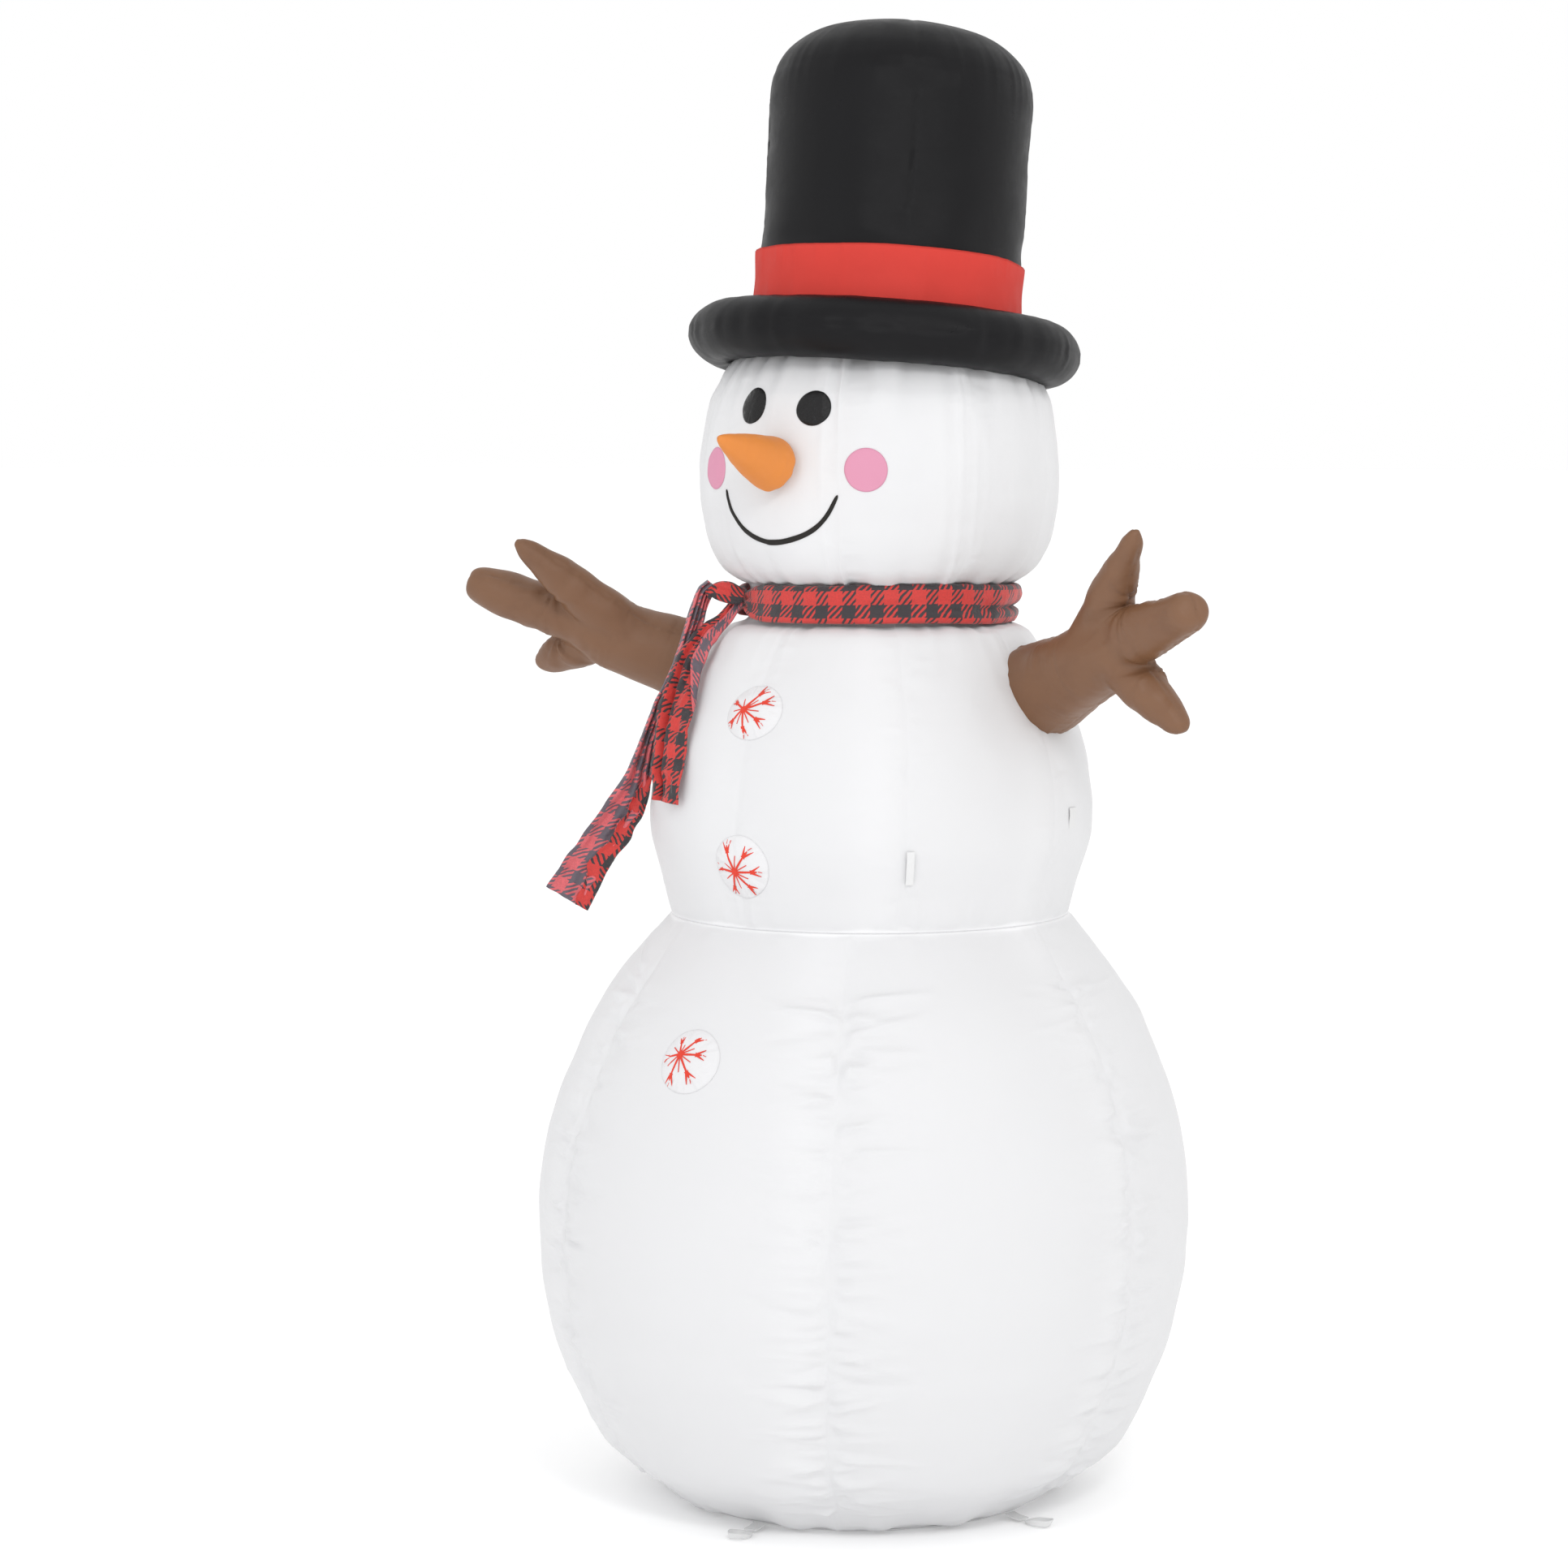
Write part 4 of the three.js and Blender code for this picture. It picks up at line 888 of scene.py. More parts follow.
# azimuth, height, width, height of the disc, then the print's hub offset and its six arms
BUT = [("top", torso, -.2, 1.2994, .106, .092, -.0150, .0007, ((50.5, .0580), (19.5, .0555), (-28.0, .0480), (-77, .0460), (-132, .0430), (152, .0320))),
       ("middle", torso, 1.0, 1.0570, .102, .103, -.0100, -.0060, ((104.2, .0506), (50.2, .0524), (3.5, .0499), (-41.7, .0579), (-103.4, .0419), (172.2, .0388))),
       ("bottom", lower, -.4, .7610, .110, .1035, -.0150, .0075, ((105, .0289), (46, .0487), (3.3, .0474), (-51, .0527), (-102.6, .0527), (-166, .0365)))]
for nm, ch, az0, z0, w, h, fx, fy, arms_ in BUT:
    b, surf = patch("button_%s_pad" % nm, ch, az0, z0, w, h, .0095, [BUTTON], edge_pucker=.0022, seed=930 + len(nm), rings=26, seg=120, power=3.4, dome=1.15, base=.0004)
    ride(b, replaces=("button_" + nm,))
    ride(flake("snowflake_print_" + nm, surf, fx, fy, arms_, (w, h)))


# ------------------------------------------------------------------ carrot nose
def nose():
    prof = catmull([(.030, -.002), (.0400, .004), (.0425, .012), (.0410, .026), (.0365, .048), (.0300, .078), (.0225, .106), (.0150, .132), (.0085, .150), (.0040, .1575), (.0006, .1590)], 8)
    s = np.concatenate([[0], np.cumsum(np.linalg.norm(np.diff(prof, axis=0), axis=1))])
    az = np.linspace(0, 2 * PI, 96, endpoint=False)
    T = np.linspace(0, s[-1], 90)
    A, S = np.meshgrid(az, T, indexing="ij")
    r, z = np.interp(S, s, prof[:, 0]), np.interp(S, s, prof[:, 1])
    d = np.abs((A + PI * .5 + PI) % (2 * PI) - PI) * r
    h = .00035 * ridged(n2(A / (2 * PI) * 5, z / .020, 1, 1, 801, 5)) + .0011 * n2(A / (2 * PI) * 6, z / .07, 1, 1, 804, 6) + .0014 * n2(A / (2 * PI) * 22, z / .05, 1, 1, 802, 22) * np.exp(-np.abs(z - .004) / .02)
    h += .0004 * n1(z, .006, 803) * np.exp(-d / .012) - .0012 * np.exp(-(d / .0018) ** 2)
    r2 = np.maximum(r + h * np.clip(r / .02, 0, 1), .0004)
    P = ring_grid(A, (r2, z))
    nu, nv = A.shape
    V = np.vstack([P.reshape(-1, 3), [[0, 0, -.002]], [[0, 0, .1592]]])
    n0 = nu * nv
    f = [tuple(x) for x in quads(nu, nv, wrap_u=True)]
    for i in range(nu):
        j = (i + 1) % nu
        f.append((j * nv, i * nv, n0))
        f.append((i * nv + nv - 1, j * nv + nv - 1, n0 + 1))
    # local +Z -> forward (-Y), tip raised by 13 degrees
    a = 15.5 * D2R
    out = np.array([0, -math.cos(a), math.sin(a)])
    up = np.array([0, math.sin(a), math.cos(a)])
    sidev = np.cross(up, out)
    M = np.stack([sidev, up, out], 1)
    W = V @ M.T + np.array([0, -.2995, 1.684])
    c3, s3 = math.cos(3 * D2R), math.sin(3 * D2R)
    W = np.stack([W[:, 0] * c3 - W[:, 1] * s3, W[:, 0] * s3 + W[:, 1] * c3, W[:, 2]], -1)
    s_ = float(lean(1.684))
    W += np.array([s_ * .809, s_ * .588, 0])
    seam = np.append(np.exp(-(d.ravel() / .0015) ** 2), [0, 0])
    ob = make("nose_cloth", W, f, mats=[ORANGE], attrs={"seam": seam})
    fix_normals(ob)
    return ob


ride(nose(), replaces=("nose_carrot",))


# ------------------------------------------------------------------ arms
def arm(side):
    """A twig arm: branch and three twigs, remeshed into one skin, then creased along its outline seam."""
    parts = []
    trunk = [(.076, -.060), (.0775, -.03), (.0775, .005), (.0735, .045), (.0680, .090), (.0645, .135), (.0615, .185), (.0545, .245), (.042, .285), (.0005, .302)]
    twigs = [(.205, .030, .234, 29.5, .042, .0225), (.240, .006, .252, -2.0, .044, .0345), (.250, -.020, .170, -54.5, .042, .0255)]
    verts, faces = [], []

    def lathe(prof, m):
        c = catmull(prof, 6)
        az = np.linspace(0, 2 * PI, 40, endpoint=False)
        A, K = np.meshgrid(az, np.arange(len(c)), indexing="ij")
        P = np.stack([c[K, 0] * np.cos(A), c[K, 0] * np.sin(A), c[K, 1]], -1)
        nu, nv = A.shape
        V = P.reshape(-1, 3)
        f = [tuple(x) for x in quads(nu, nv, wrap_u=True)]
        V = np.vstack([V, [[0, 0, c[0, 1]]], [[0, 0, c[-1, 1]]]])
        for i in range(nu):
            j = (i + 1) % nu
            f.append((j * nv, i * nv, nu * nv))
            f.append((i * nv + nv - 1, j * nv + nv - 1, nu * nv + 1))
        off = sum(len(v) for v in verts)
        verts.append(transform(V, m))
        faces.extend([tuple(int(x) + off for x in q) for q in f])
    # local frame: x up, y across, z out along the arm
    lathe(trunk, Matrix.Identity(4))
    for at, up, ln, lift, r0, r1 in twigs:
        prof = [(r0 * .5, -.03), (r0, -.01), (r0, .01), ((r0 + r1) / 2 + .0015, ln * .5), (r1 * 1.04, ln * .8), (r1 * .92, ln * .92), (r1 * .62, ln * .985), (.0004, ln)]
        if r1 < .03:
            prof = prof[:4] + [(r1 * 1.06, ln * .76), (r1 * .80, ln * .90), (r1 * .40, ln * .985), (.0004, ln * 1.035)]
        m = Matrix.Translation((up, 0, at)) @ Matrix.Rotation(lift * D2R, 4, 'Y')
        lathe(prof, m)
    ob = make("tmp_arm", np.vstack(verts), faces)
    rm = ob.modifiers.new("r", 'REMESH')
    rm.mode = 'VOXEL'
    rm.voxel_size = .0042
    sm = ob.modifiers.new("s", 'SMOOTH')
    sm.iterations = 16
    sm.factor = .6
    dg = bpy.context.evaluated_depsgraph_get()
    me2 = bpy.data.meshes.new_from_object(ob.evaluated_get(dg))
    bpy.data.objects.remove(ob)
    n = len(me2.vertices)
    co = np.zeros(n * 3, np.float32)
    me2.vertices.foreach_get("co", co)
    P = co.reshape(-1, 3).astype(float)
    nr = np.zeros(n * 3, np.float32)
    me2.vertices.foreach_get("normal", nr)
    N = nr.reshape(-1, 3).astype(float)
    # outline seam lies where the skin crosses the arm's middle plane
    d = np.abs(P[:, 1])
    out_w = np.clip(1 - np.abs(N[:, 1]), 0, 1)
    k = 1200 + (0 if side > 0 else 50)
    sd = np.sign(P[:, 1]) * 7.7
    q = np.stack([P[:, 0], P[:, 1] * .35 + sd, P[:, 2]], -1)
    pk = ridged(n3(q, (.017, .05, .017), k + 1))
    pk2 = n3(q, (.030, .09, .030), k + 2)
    h = .0013 * pk * np.exp(-d / .020) * out_w + .0020 * pk2 * np.exp(-d / .05)
    h -= .0014 * np.exp(-(d / .0035) ** 2) * out_w ** .5
    h += .0034 * n3(P, (.065, .055, .06), k + 3)
    # gathers where it is sewn to the torso
    ang = np.arctan2(P[:, 1], P[:, 0])
    g = n2(ang / (2 * PI) * 26 + 30, P[:, 2] * 0, 1, 1, k + 4, 26)
    h += .0016 * ridged(g) * np.exp(-np.clip(P[:, 2] - .012, 0, 1) / .028) * (P[:, 2] > -.06)
    # long pulled folds where the twigs fork
    fork = np.exp(-((P[:, 2] - .28) / .07) ** 2)
    h += .0036 * fork * n3(P, (.022, .06, .07), k + 5)
    # creases that fan out of the two crotches across the palm
    for cx_, cz_, sd_ in ((.055, .335, 1), (-.055, .322, 2)):
        rr_ = np.hypot(P[:, 0] - cx_, P[:, 2] - cz_)
        aa_ = np.arctan2(P[:, 0] - cx_, P[:, 2] - cz_)
        h += .0042 * ridged(n1(aa_ + 9 + np.sign(P[:, 1]) * 3, .36, k + 40 + sd_)) * np.exp(-rr_ / .040) * np.clip(rr_ / .012, 0, 1)
    h += .0011 * ridged(n3(P, (.10, .10, .010), k + 6)) * np.clip((.2 - np.abs(P[:, 2] - .12)) / .1, 0, 1) * np.clip(n3(P, (.05, .05, .05), k + 7) + .2, 0, 1)
    P = P + N * h[:, None]
    seam = np.exp(-(d / .0020) ** 2) * out_w
    s = float(lean(ARM_Z))
    az_, fw_, pt_, rl_ = (x * D2R for x in ARM_POSE[side])
    oh = np.array([side * math.cos(fw_), -math.sin(fw_), 0])
    nb = np.array([side * math.sin(fw_), math.cos(fw_), 0])
    out = math.cos(pt_) * oh + np.array([0, 0, math.sin(pt_)])
    up0 = -math.sin(pt_) * oh + np.array([0, 0, math.cos(pt_)])
    up = math.cos(rl_) * up0 - math.sin(rl_) * nb
    acr = np.cross(out, up)
    M = np.stack([up, acr, out], 1)
    root = np.array([ARM_ROOT * math.sin(az_) + s * .809, -ARM_ROOT * math.cos(az_) + s * .588, ARM_Z])
    W = P @ M.T + root
    me2.vertices.foreach_set("co", W.astype(np.float32).ravel())
    me2.polygons.foreach_set("use_smooth", np.ones(len(me2.polygons), dtype=bool))
    me2.materials.clear()
    me2.materials.append(BROWN)
    at = me2.attributes.new("seam", 'FLOAT', 'POINT')
    at.data.foreach_set("value", seam.astype(np.float32))
    me2.update()
    nm = "arm_%s_cloth" % ("left" if side > 0 else "right")
    me2.name = nm
    ob = bpy.data.objects.new(nm, me2)
    bpy.context.scene.collection.objects.link(ob)
    fix_normals(ob)
    body = "arm_left" if side > 0 else "arm_right"
    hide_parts(body)
    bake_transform(ob)
    return ob


arm(1)
arm(-1)


# ------------------------------------------------------------------ scarf
def sheet_mesh(name, P, U, V, thick, front, back, wrap_u=False):
    """A cloth of real thickness from its middle surface P[i, j]; U, V are the cut's own coordinates."""
    N = grid_normals(P, wrap_u)
    nu, nv = P.shape[:2]
    A, B = P + N * thick / 2, P - N * thick / 2
    n = nu * nv
    verts = np.vstack([A.reshape(-1, 3), B.reshape(-1, 3)])
    uv = np.stack([U.ravel(), V.ravel()], -1)
    uv = np.vstack([uv, uv])
    f1 = quads(nu, nv, wrap_u)
    f2 = quads(nu, nv, wrap_u, off=n, flip=True)
    edges = []
    iu = np.arange(nu if wrap_u else nu - 1)
    ju = (iu + 1) % nu
    edges.append(np.stack([iu * nv, n + iu * nv, n + ju * nv, ju * nv], -1))
    edges.append(np.stack([iu * nv + nv - 1, ju * nv + nv - 1, n + ju * nv + nv - 1, n + iu * nv + nv - 1], -1))
    if not wrap_u:
        j = np.arange(nv - 1)
        edges.append(np.stack([j, j + 1, n + j + 1, n + j], -1))
        edges.append(np.stack([(nu - 1) * nv + j, n + (nu - 1) * nv + j, n + (nu - 1) * nv + j + 1, (nu - 1) * nv + j + 1], -1))
    e = np.vstack(edges)
    idx = np.concatenate([np.zeros(len(f1)), np.ones(len(f2)), np.zeros(len(e))])
    ob = make(name, verts, np.vstack([f1, f2, e]), mats=[front, back], mat_idx=idx, uv=uv)
    return ob


def orient(ob):
    """Face normals outwards without disturbing which material each face has."""
    fix_normals(ob)
    return ob


def scarf_wrap():
    # cross-section: up the inside, over the top, down the outside, with a soft crease along it
    sec = catmull([(.2135, 1.4440), (.2125, 1.4600), (.2130, 1.4780), (.2165, 1.4900), (.2225, 1.4945), (.2280, 1.4890), (.2305, 1.4760), (.2285, 1.4640), (.2305, 1.4520), (.2300, 1.4400), (.2265, 1.4345)], 5)
    s = np.concatenate([[0], np.cumsum(np.linalg.norm(np.diff(sec, axis=0), axis=1))])
    t = np.linspace(0, s[-1], 40)
    az0, az1 = -62 * D2R, (360 - 62) * D2R
    az = np.linspace(az0, az1, 420, endpoint=False)
    A, T = np.meshgrid(az, t, indexing="ij")
    r, z = np.interp(T, s, sec[:, 0]), np.interp(T, s, sec[:, 1])
    outer = np.clip((r - .2215) / .006, 0, 1)
    zc = 1.4655
    # height of the band waves a little, and it pinches to the knot
    rel = (A + 37.5 * D2R + PI) % (2 * PI) - PI
    p = np.clip(np.abs(rel) / np.where(rel > 0, 27 * D2R, 62 * D2R), 0, 1)
    pinch = .36 + .64 * (1 - (1 - p) ** 2) ** .75
    wave = 1 + .05 * n2(A / (2 * PI) * 9, z * 0, 1, 1, 1301, 9)
    zn = (z - zc) / .03
    z = zc + (z - zc) * pinch * wave + .0030 * n2(A / (2 * PI) * 7, z * 0, 1, 1, 1302, 7) + .0010 * (1 - pinch)
    h = .0028 * n2(A / (2 * PI) * 18, (z - 1.43) / .022, 1, 1, 1303, 18) + .0016 * ridged(n2(A / (2 * PI) * 30, (z - 1.43) / .03, 1, 1, 1304, 30))
    # lengthwise folds that fade in and out
    fold = np.exp(-((z - (1.452 + .010 * n2(A / (2 * PI) * 5, z * 0, 1, 1, 1305, 5))) / .0045) ** 2)
    h -= .0040 * fold * np.clip(.5 + n2(A / (2 * PI) * 6, z * 0, 1, 1, 1306, 6), 0, 1)
    away = np.exp(-(((A - 122 * D2R + PI) % (2 * PI) - PI) / (38 * D2R)) ** 2)
    h -= (.0100 * np.exp(-((z - 1.4575) / .0050) ** 2) + .0035 * (z < 1.4575)) * away
    h += .0026 * (1 - p) ** .7 * np.sin(zn * 2 * PI * 1.15 + 1.0 + 2.0 * (1 - p))
    r = .2125 + (r - .2125) * (.42 + .58 * p ** .7)
    r = r + (h + .001) * outer + .0006
    P = leaned(ring_grid(A, (r, z)))
    ob = sheet_mesh("scarf_wrap_cloth", P[:, ::-1], (A * .229)[:, ::-1], T[:, ::-1], .0022, CHECK, CHECK_BACK, wrap_u=True)
    orient(ob)
    return ob


w_ = ride(scarf_wrap(), replaces=("scarf_wrap",))


def edge_cloth(name, rows, section, nu=150, nv=40, thick=.0016, seed=1400, front=CHECK, back=CHECK_BACK, crumple=.0048, wavy=.035, v0=0.0, u0=0.0, pleats=0):
    """Cloth laid between two edge lines. rows: (left edge, right edge) from the top down, in metres.
    section(t, q) gives, for places q = 0..1 along the cloth's width, the share of the visible width and the height."""
    st = catmull(np.asarray(rows, float).reshape(len(rows), 6), 14)
    C = (st[:, :3] + st[:, 3:]) / 2
    s = np.concatenate([[0], np.cumsum(np.linalg.norm(np.diff(C, axis=0), axis=1))])
    t = np.linspace(0, s[-1], nu)
    row = np.stack([np.interp(t, s, st[:, k]) for k in range(6)], -1)
    X = (row[:, :3] + row[:, 3:]) / 2
    W = row[:, 3:] - row[:, :3]
    wd = np.linalg.norm(W, axis=1)
    W /= wd[:, None]
    tan = np.gradient(X, axis=0)
    tan /= np.linalg.norm(tan, axis=1)[:, None]
    N = np.cross(tan, W)
    N /= np.linalg.norm(N, axis=1)[:, None]
    q = np.linspace(0, 1, nv)
    P = np.zeros((nu, nv, 3))
    x = np.zeros((nu, nv))
    h = np.zeros((nu, nv))
    for i in range(nu):
        x[i], h[i] = section(t[i] / s[-1], q, wd[i])
    T2 = np.repeat(t[:, None], nv, 1)
    Q2 = np.repeat(q[None], nu, 0)
    h = h + crumple * n2(T2 + .15 * Q2 * wd[:, None], Q2, .045, .30, seed + 1) * .7 + crumple * .5 * ridged(n2(T2 - .4 * Q2 * wd[:, None], Q2, .022, .22, seed + 2)) + crumple * .25 * n2(T2 + .3 * Q2 * wd[:, None], Q2, .011, .12, seed + 4)
    x = x + wavy * n1(T2, .03, seed + 3) * (Q2 > .5) + wavy * n1(T2, .03, seed + 5) * (Q2 < .5)
    across = np.diff((x - .5) * wd[:, None], axis=1)
    arc = np.hypot(across, np.diff(h, axis=1)).sum(1)
    if pleats:
        # a strip keeps its width: where it is pulled narrow, the rest of the cloth stands up in pleats
        want = arc.max()
        wave = np.sin(2 * PI * pleats * Q2 + 1.1 * n1(T2, .09, seed + 9)) * (1 + .22 * n2(T2, Q2, .05, .2, seed + 10))
        lo_, hi_ = np.zeros(nu), np.full(nu, .0095)
        for _ in range(16):
            mid_ = (lo_ + hi_) / 2
            less = np.hypot(across, np.diff(h + mid_[:, None] * wave, axis=1)).sum(1) < want
            lo_, hi_ = np.where(less, mid_, lo_), np.where(less, hi_, mid_)
        ker = np.ones(9) / 9
        amp_ = np.convolve(np.pad(lo_, 4, mode="edge"), ker, mode="valid")
        h = h + amp_[:, None] * wave
    P = X[:, None, :] + W[:, None, :] * ((x - .5) * wd[:, None])[..., None] + N[:, None, :] * h[..., None]
    seg = np.linalg.norm(np.diff(P, axis=1), axis=-1)
    arc = seg.sum(1)
    full = float(arc.max())
    print("FLAT", name, "length", round(float(s[-1]), 4), "widest", round(full, 4), "mean", round(float(arc.mean()), 4), "narrowest", round(float(arc.min()), 4))
    U = T2 + u0
    V = np.concatenate([np.zeros((nu, 1)), np.cumsum(seg, axis=1)], 1) / arc[:, None] * arc.max() + v0
    ob = sheet_mesh(name, P, U, V, thick, front, back)
    orient(ob)
    return ob, s[-1], full


def folded(t, q, f, lift, dark=0.0, at=.27, curl=.0015):
    """A cross-section whose last part (share f of the width) turns back over the face."""
    sf = 1 / (1 + max(f, 0.0))
    e = .012
    x = 1 - (np.sqrt((q - sf) ** 2 + e ** 2) - e * .5) / sf
    up = np.clip((q - sf + .025) / .05, 0, 1)
    up = up * up * (3 - 2 * up)
    h = lift * up * min(1.0, f / .08 if f > 0 else 0.0)
    base = curl * np.sin(x * PI * 2.2 + 3 * t) - dark * np.exp(-((x - at) / .055) ** 2) + dark * .45 * np.exp(-((x - at + .14) / .05) ** 2)
    return np.clip(x, 0, 1), h + base * (1 - up * .25)


def ease(t, a, b):
    v = min(max((t - a) / (b - a), 0.0), 1.0)
    return v * v * (3 - 2 * v)


FRONT_ROWS = (((-133.2, -164.8, 1477.0), (-123.7, -157.8, 1462.5)), ((-141.1, -171.7, 1462.6), (-128.2, -164.9, 1448.2)), ((-153.7, -183.4, 1444.3), (-134.1, -176.6, 1428.8)),
              ((-169.3, -199.6, 1430.0), (-139.3, -197.6, 1408.5)), ((-182.2, -221.4, 1408.2), (-138.5, -224.2, 1384.7)), ((-184.6, -247.9, 1381.7), (-139.6, -239.8, 1359.2)),
              ((-182.0, -274.3, 1345.1), (-125.1, -275.1, 1318.4)), ((-182.2, -299.2, 1300.7), (-117.8, -299.0, 1282.3)), ((-179.2, -315.6, 1256.2), (-115.2, -315.0, 1245.9)),
              ((-174.9, -327.3, 1211.6), (-111.2, -328.5, 1208.1)), ((-172.3, -332.8, 1179.6), (-110.4, -335.9, 1176.4)), ((-168.8, -335.3, 1154.0), (-112.7, -339.4, 1148.1)))
SIDE_ROWS = (((-162.4, -199.6, 1499.6), (-151.3, -184.1, 1483.7)), ((-172.8, -209.6, 1487.9), (-159.7, -192.6, 1473.3)), ((-181.6, -213.5, 1464.3), (-167.3, -195.7, 1453.6)),
             ((-190.3, -217.4, 1436.7), (-173.9, -198.0, 1428.6)), ((-201.2, -222.8, 1401.2), (-184.8, -203.5, 1393.0)), ((-213.0, -231.4, 1364.4), (-196.6, -212.1, 1352.3)),
             ((-228.4, -237.6, 1327.4), (-212.0, -218.3, 1311.3)), ((-248.3, -244.6, 1282.3), (-230.8, -224.5, 1262.1)), ((-268.2, -251.7, 1231.7), (-246.5, -228.5, 1212.8)),
             ((-288.2, -258.8, 1182.4), (-260.1, -231.0, 1155.4)), ((-322.4, -273.8, 1132.6), (-278.1, -234.2, 1105.5)), ((-357.7, -289.5, 1081.4), (-304.8, -243.7, 1060.9)),
             ((-385.6, -299.9, 1038.0), (-334.8, -255.6, 1013.4)), ((-412.5, -309.6, 995.8), (-361.7, -265.3, 956.3)))
KNOT_ROWS = (((-112.3, -168.1, 1484.0), (-113.4, -168.9, 1465.7)), ((-120.8, -174.3, 1491.2), (-120.8, -174.3, 1463.1)), ((-129.2, -180.4, 1496.4), (-130.4, -181.3, 1462.4)),
             ((-138.8, -187.3, 1497.8), (-141.0, -188.9, 1465.7)), ((-148.3, -194.3, 1495.8), (-149.4, -195.1, 1469.6)), ((-156.8, -200.4, 1489.9), (-155.2, -199.3, 1473.6)),
             ((-163.1, -205.1, 1482.7), (-158.9, -202.0, 1469.6)))


def metres(rows):
    return np.array(rows) / 1000.0


def front_section(t, q, wd):
    f = .62 - .10 * ease(t, .1, .3) - .52 * ease(t, .30, .62)
    return folded(t, q, f, .0052, dark=.0095 * ease(t, .12, .35), at=.25)


def side_section(t, q, wd):
    f = .46 * ease(t, .48, .66) - .14 * ease(t, .85, 1.0)
    f = max(f + .07 * float(n1(t, .035, 1471)) * ease(t, .5, .6), 0.0)
    return folded(t, q, f, .0050, dark=.0040 * (1 - ease(t, .2, .4)), at=.5, curl=.0024)


def knot_section(t, q, wd):
    a = (q - .5) * 344 * D2R
    return .5 + .5 * np.sin(a), .0072 * np.cos(a) + .0020 * ridged(n1(q * 1.0 + .12 * t, .11, 1481))


tf, lf, wf = edge_cloth("scarf_end_front", metres(FRONT_ROWS), front_section, seed=1410, v0=.011)
ts, ls, ws = edge_cloth("scarf_end_side", metres(SIDE_ROWS), side_section, nu=190, nv=64, seed=1450, front=CHECK_BACK, back=CHECK, v0=.014, pleats=4)
for ob, body, L_, W_ in ((tf, "scarf_tail_front", lf, wf), (ts, "scarf_tail_side", ls, ws)):
    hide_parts(body)
    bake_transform(ob)

# knot: a rolled strand that leaves the wrap's pinched end and arches over to the side end
kn, lk, wk = edge_cloth("scarf_knot_cloth", metres(KNOT_ROWS), knot_section, nu=70, nv=56, thick=.0014, seed=1480, crumple=.0018, wavy=0.0)
ride(kn, replaces=("scarf_knot",))


# stake loops: a band of webbing on edge, bent into a loop and stitched to its tab
def stake_loop(which):
    lo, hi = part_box("stake_loop_" + which)
    c = np.array([(lo[k] + hi[k]) / 2 for k in range(3)])
    rad = c[:2] / np.linalg.norm(c[:2])
    tg = np.array([-rad[1], rad[0]])
    a = np.linspace(0, 2 * PI, 96, endpoint=False)
    w = np.linspace(-1, 1, 7)
    rr = .0205
    near = ((1 - np.cos(a)) / 2) ** 2
    cx_, cy_ = (rr * (1.06 + .05 * np.cos(2 * a))) * np.cos(a), rr * (.80 + .06 * np.sin(a)) * np.sin(a)
    flat_ = .9 if which == "back" else 0.0
    lift = (1 - .8 * flat_) * (1 - near) * (.0040 + .0020 * np.cos(a + .6) + .0010 * np.sin(3 * a))
    lean_ = near + (1 - near) * ((1 - flat_) * .55 * np.sin(a + .9) + flat_ * .94)
    P = np.zeros((96, 7, 3))
    for k in range(7):
        off = w[k] * .0051
        x_ = .0023 + cx_ + off * lean_ * np.cos(a)
        y_ = cy_ + off * lean_ * np.sin(a)
        P[:, k, :2] = c[:2] + x_[:, None] * rad + y_[:, None] * tg
        P[:, k, 2] = c[2] + lift + off * np.sqrt(np.maximum(1 - lean_ ** 2, 0))
    P[..., 2] = np.maximum(P[..., 2], .0016)
    ob = sheet_mesh("stake_loop_%s_webbing" % which, P, np.repeat(a[:, None] * .020, 7, 1), np.repeat(w[None] * .0051, 96, 0), .0015, TAPE, TAPE, wrap_u=True)
    fix_normals(ob)
    ride(ob, body="stake_loop_" + which, replaces=("stake_loop_" + which,))


for which_ in ("front", "left", "back", "right"):
    stake_loop(which_)

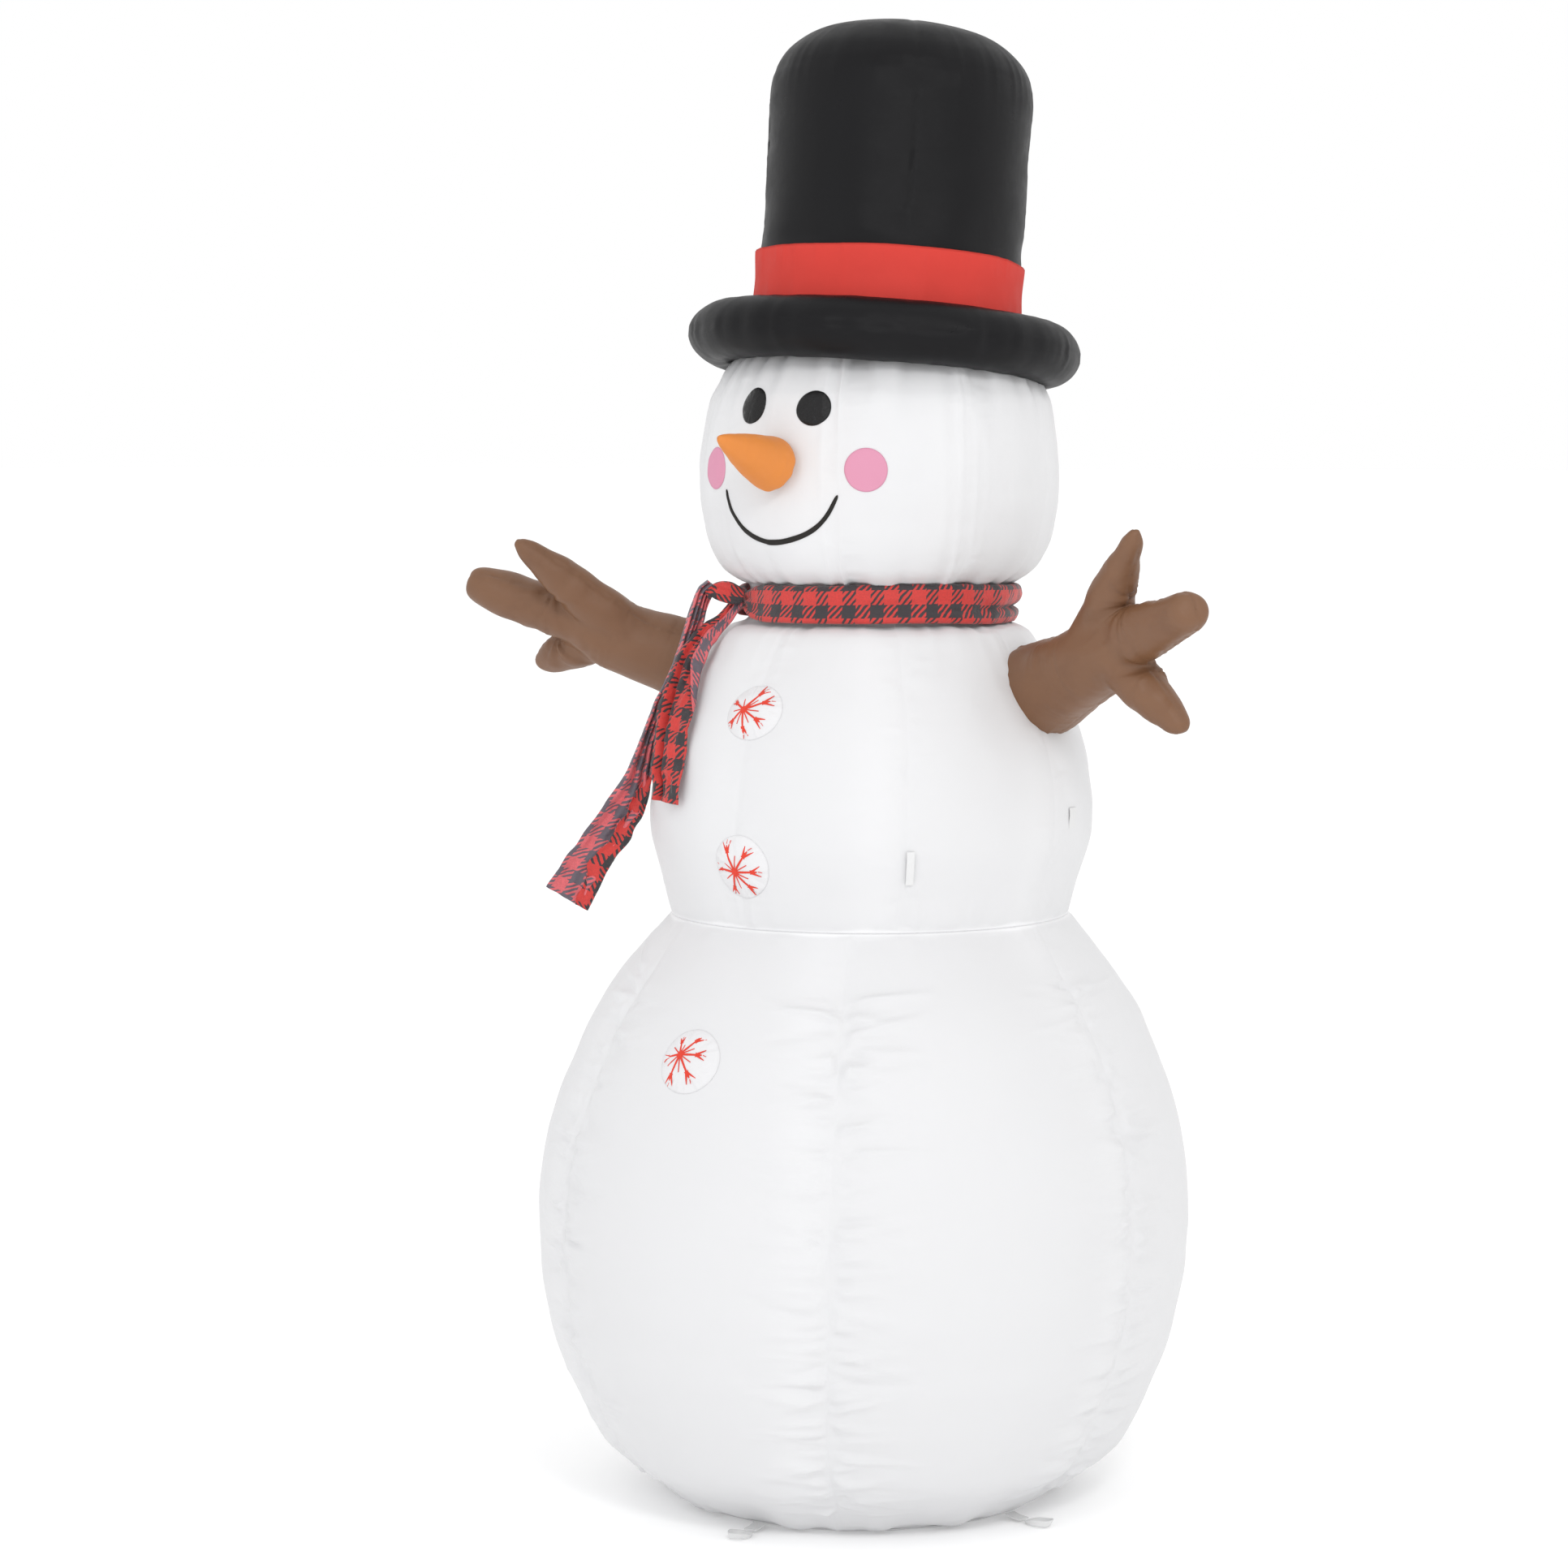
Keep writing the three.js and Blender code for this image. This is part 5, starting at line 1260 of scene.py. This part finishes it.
# ------------------------------------------------------------------ small cloth pieces on the CAD nodes
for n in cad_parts:
    ob = bpy.data.objects.get(n)
    if ob is None:
        continue
    m = None
    if n.startswith(("stake_", "guy_tab", "zipper_tape")):
        m = TAPE
    elif n == "care_label":
        m = LABEL
    elif n == "base_panel":
        m = WHITE
    elif n in ("blower_housing", "blower_grille", "clamp_ring", "motor_spider", "supply_socket", "socket_collar"):
        m = PLASTIC
    elif n in ("impeller", "zipper_chain"):
        m = GREY
    elif n in ("blower_motor", "motor_shaft", "zipper_slider", "zipper_pull"):
        m = STEEL
    elif n.startswith("led_puck"):
        m = LED
    elif n == "light_lead":
        m = JACKET
    if m is not None:
        for sl in ob.material_slots:
            sl.material = m

# ------------------------------------------------------------------ floor and light
def floor():
    me = bpy.data.meshes.new("floor")
    k = 400
    me.from_pydata([(-k, -k, -.0005), (k, -k, -.0005), (k, k, -.0005), (-k, k, -.0005)], [], [(0, 1, 2, 3)])
    m = bpy.data.materials.new("floor_white")
    m.use_nodes = True
    b = m.node_tree.nodes["Principled BSDF"]
    b.inputs["Base Color"].default_value = (.95, .95, .95, 1)
    b.inputs["Emission Color"].default_value = (1, 1, 1, 1)
    b.inputs["Emission Strength"].default_value = .12
    b.inputs["Roughness"].default_value = .9
    b.inputs["Specular IOR Level"].default_value = .1
    me.materials.append(m)
    ob = bpy.data.objects.new("floor", me)
    bpy.context.scene.collection.objects.link(ob)


floor()
world = bpy.data.worlds.new("studio")
bpy.context.scene.world = world
world.use_nodes = True
bg = world.node_tree.nodes["Background"]
bg.inputs[0].default_value = (1.0, 1.0, 1.0, 1)
bg.inputs[1].default_value = 1.0


def area(name, loc, size, power, target=(0, 0, 1.2), color=(1, 1, 1)):
    d = bpy.data.lights.new(name, 'AREA')
    d.shape = 'DISK'
    d.size = size
    d.energy = power
    d.color = color
    ob = bpy.data.objects.new(name, d)
    bpy.context.scene.collection.objects.link(ob)
    ob.location = loc
    ob.rotation_euler = (Vector(target) - Vector(loc)).to_track_quat('-Z', 'Y').to_euler()
    return ob


fwd = np.array([-math.sin(AZ), math.cos(AZ), 0])
rgt = np.array([math.cos(AZ), math.sin(AZ), 0])
key = -fwd * 5.0 + rgt * 1.2 + np.array([0, 0, 4.2])
area("key", tuple(key), 1.2, 66)
fill = -fwd * 4.6 + rgt * -2.9 + np.array([0, 0, 3.0])
area("fill", tuple(fill), 1.0, 16, color=(.88, .92, 1.0))
bpy.context.scene.view_settings.view_transform = 'Standard'
bpy.context.scene.view_settings.look = 'None'
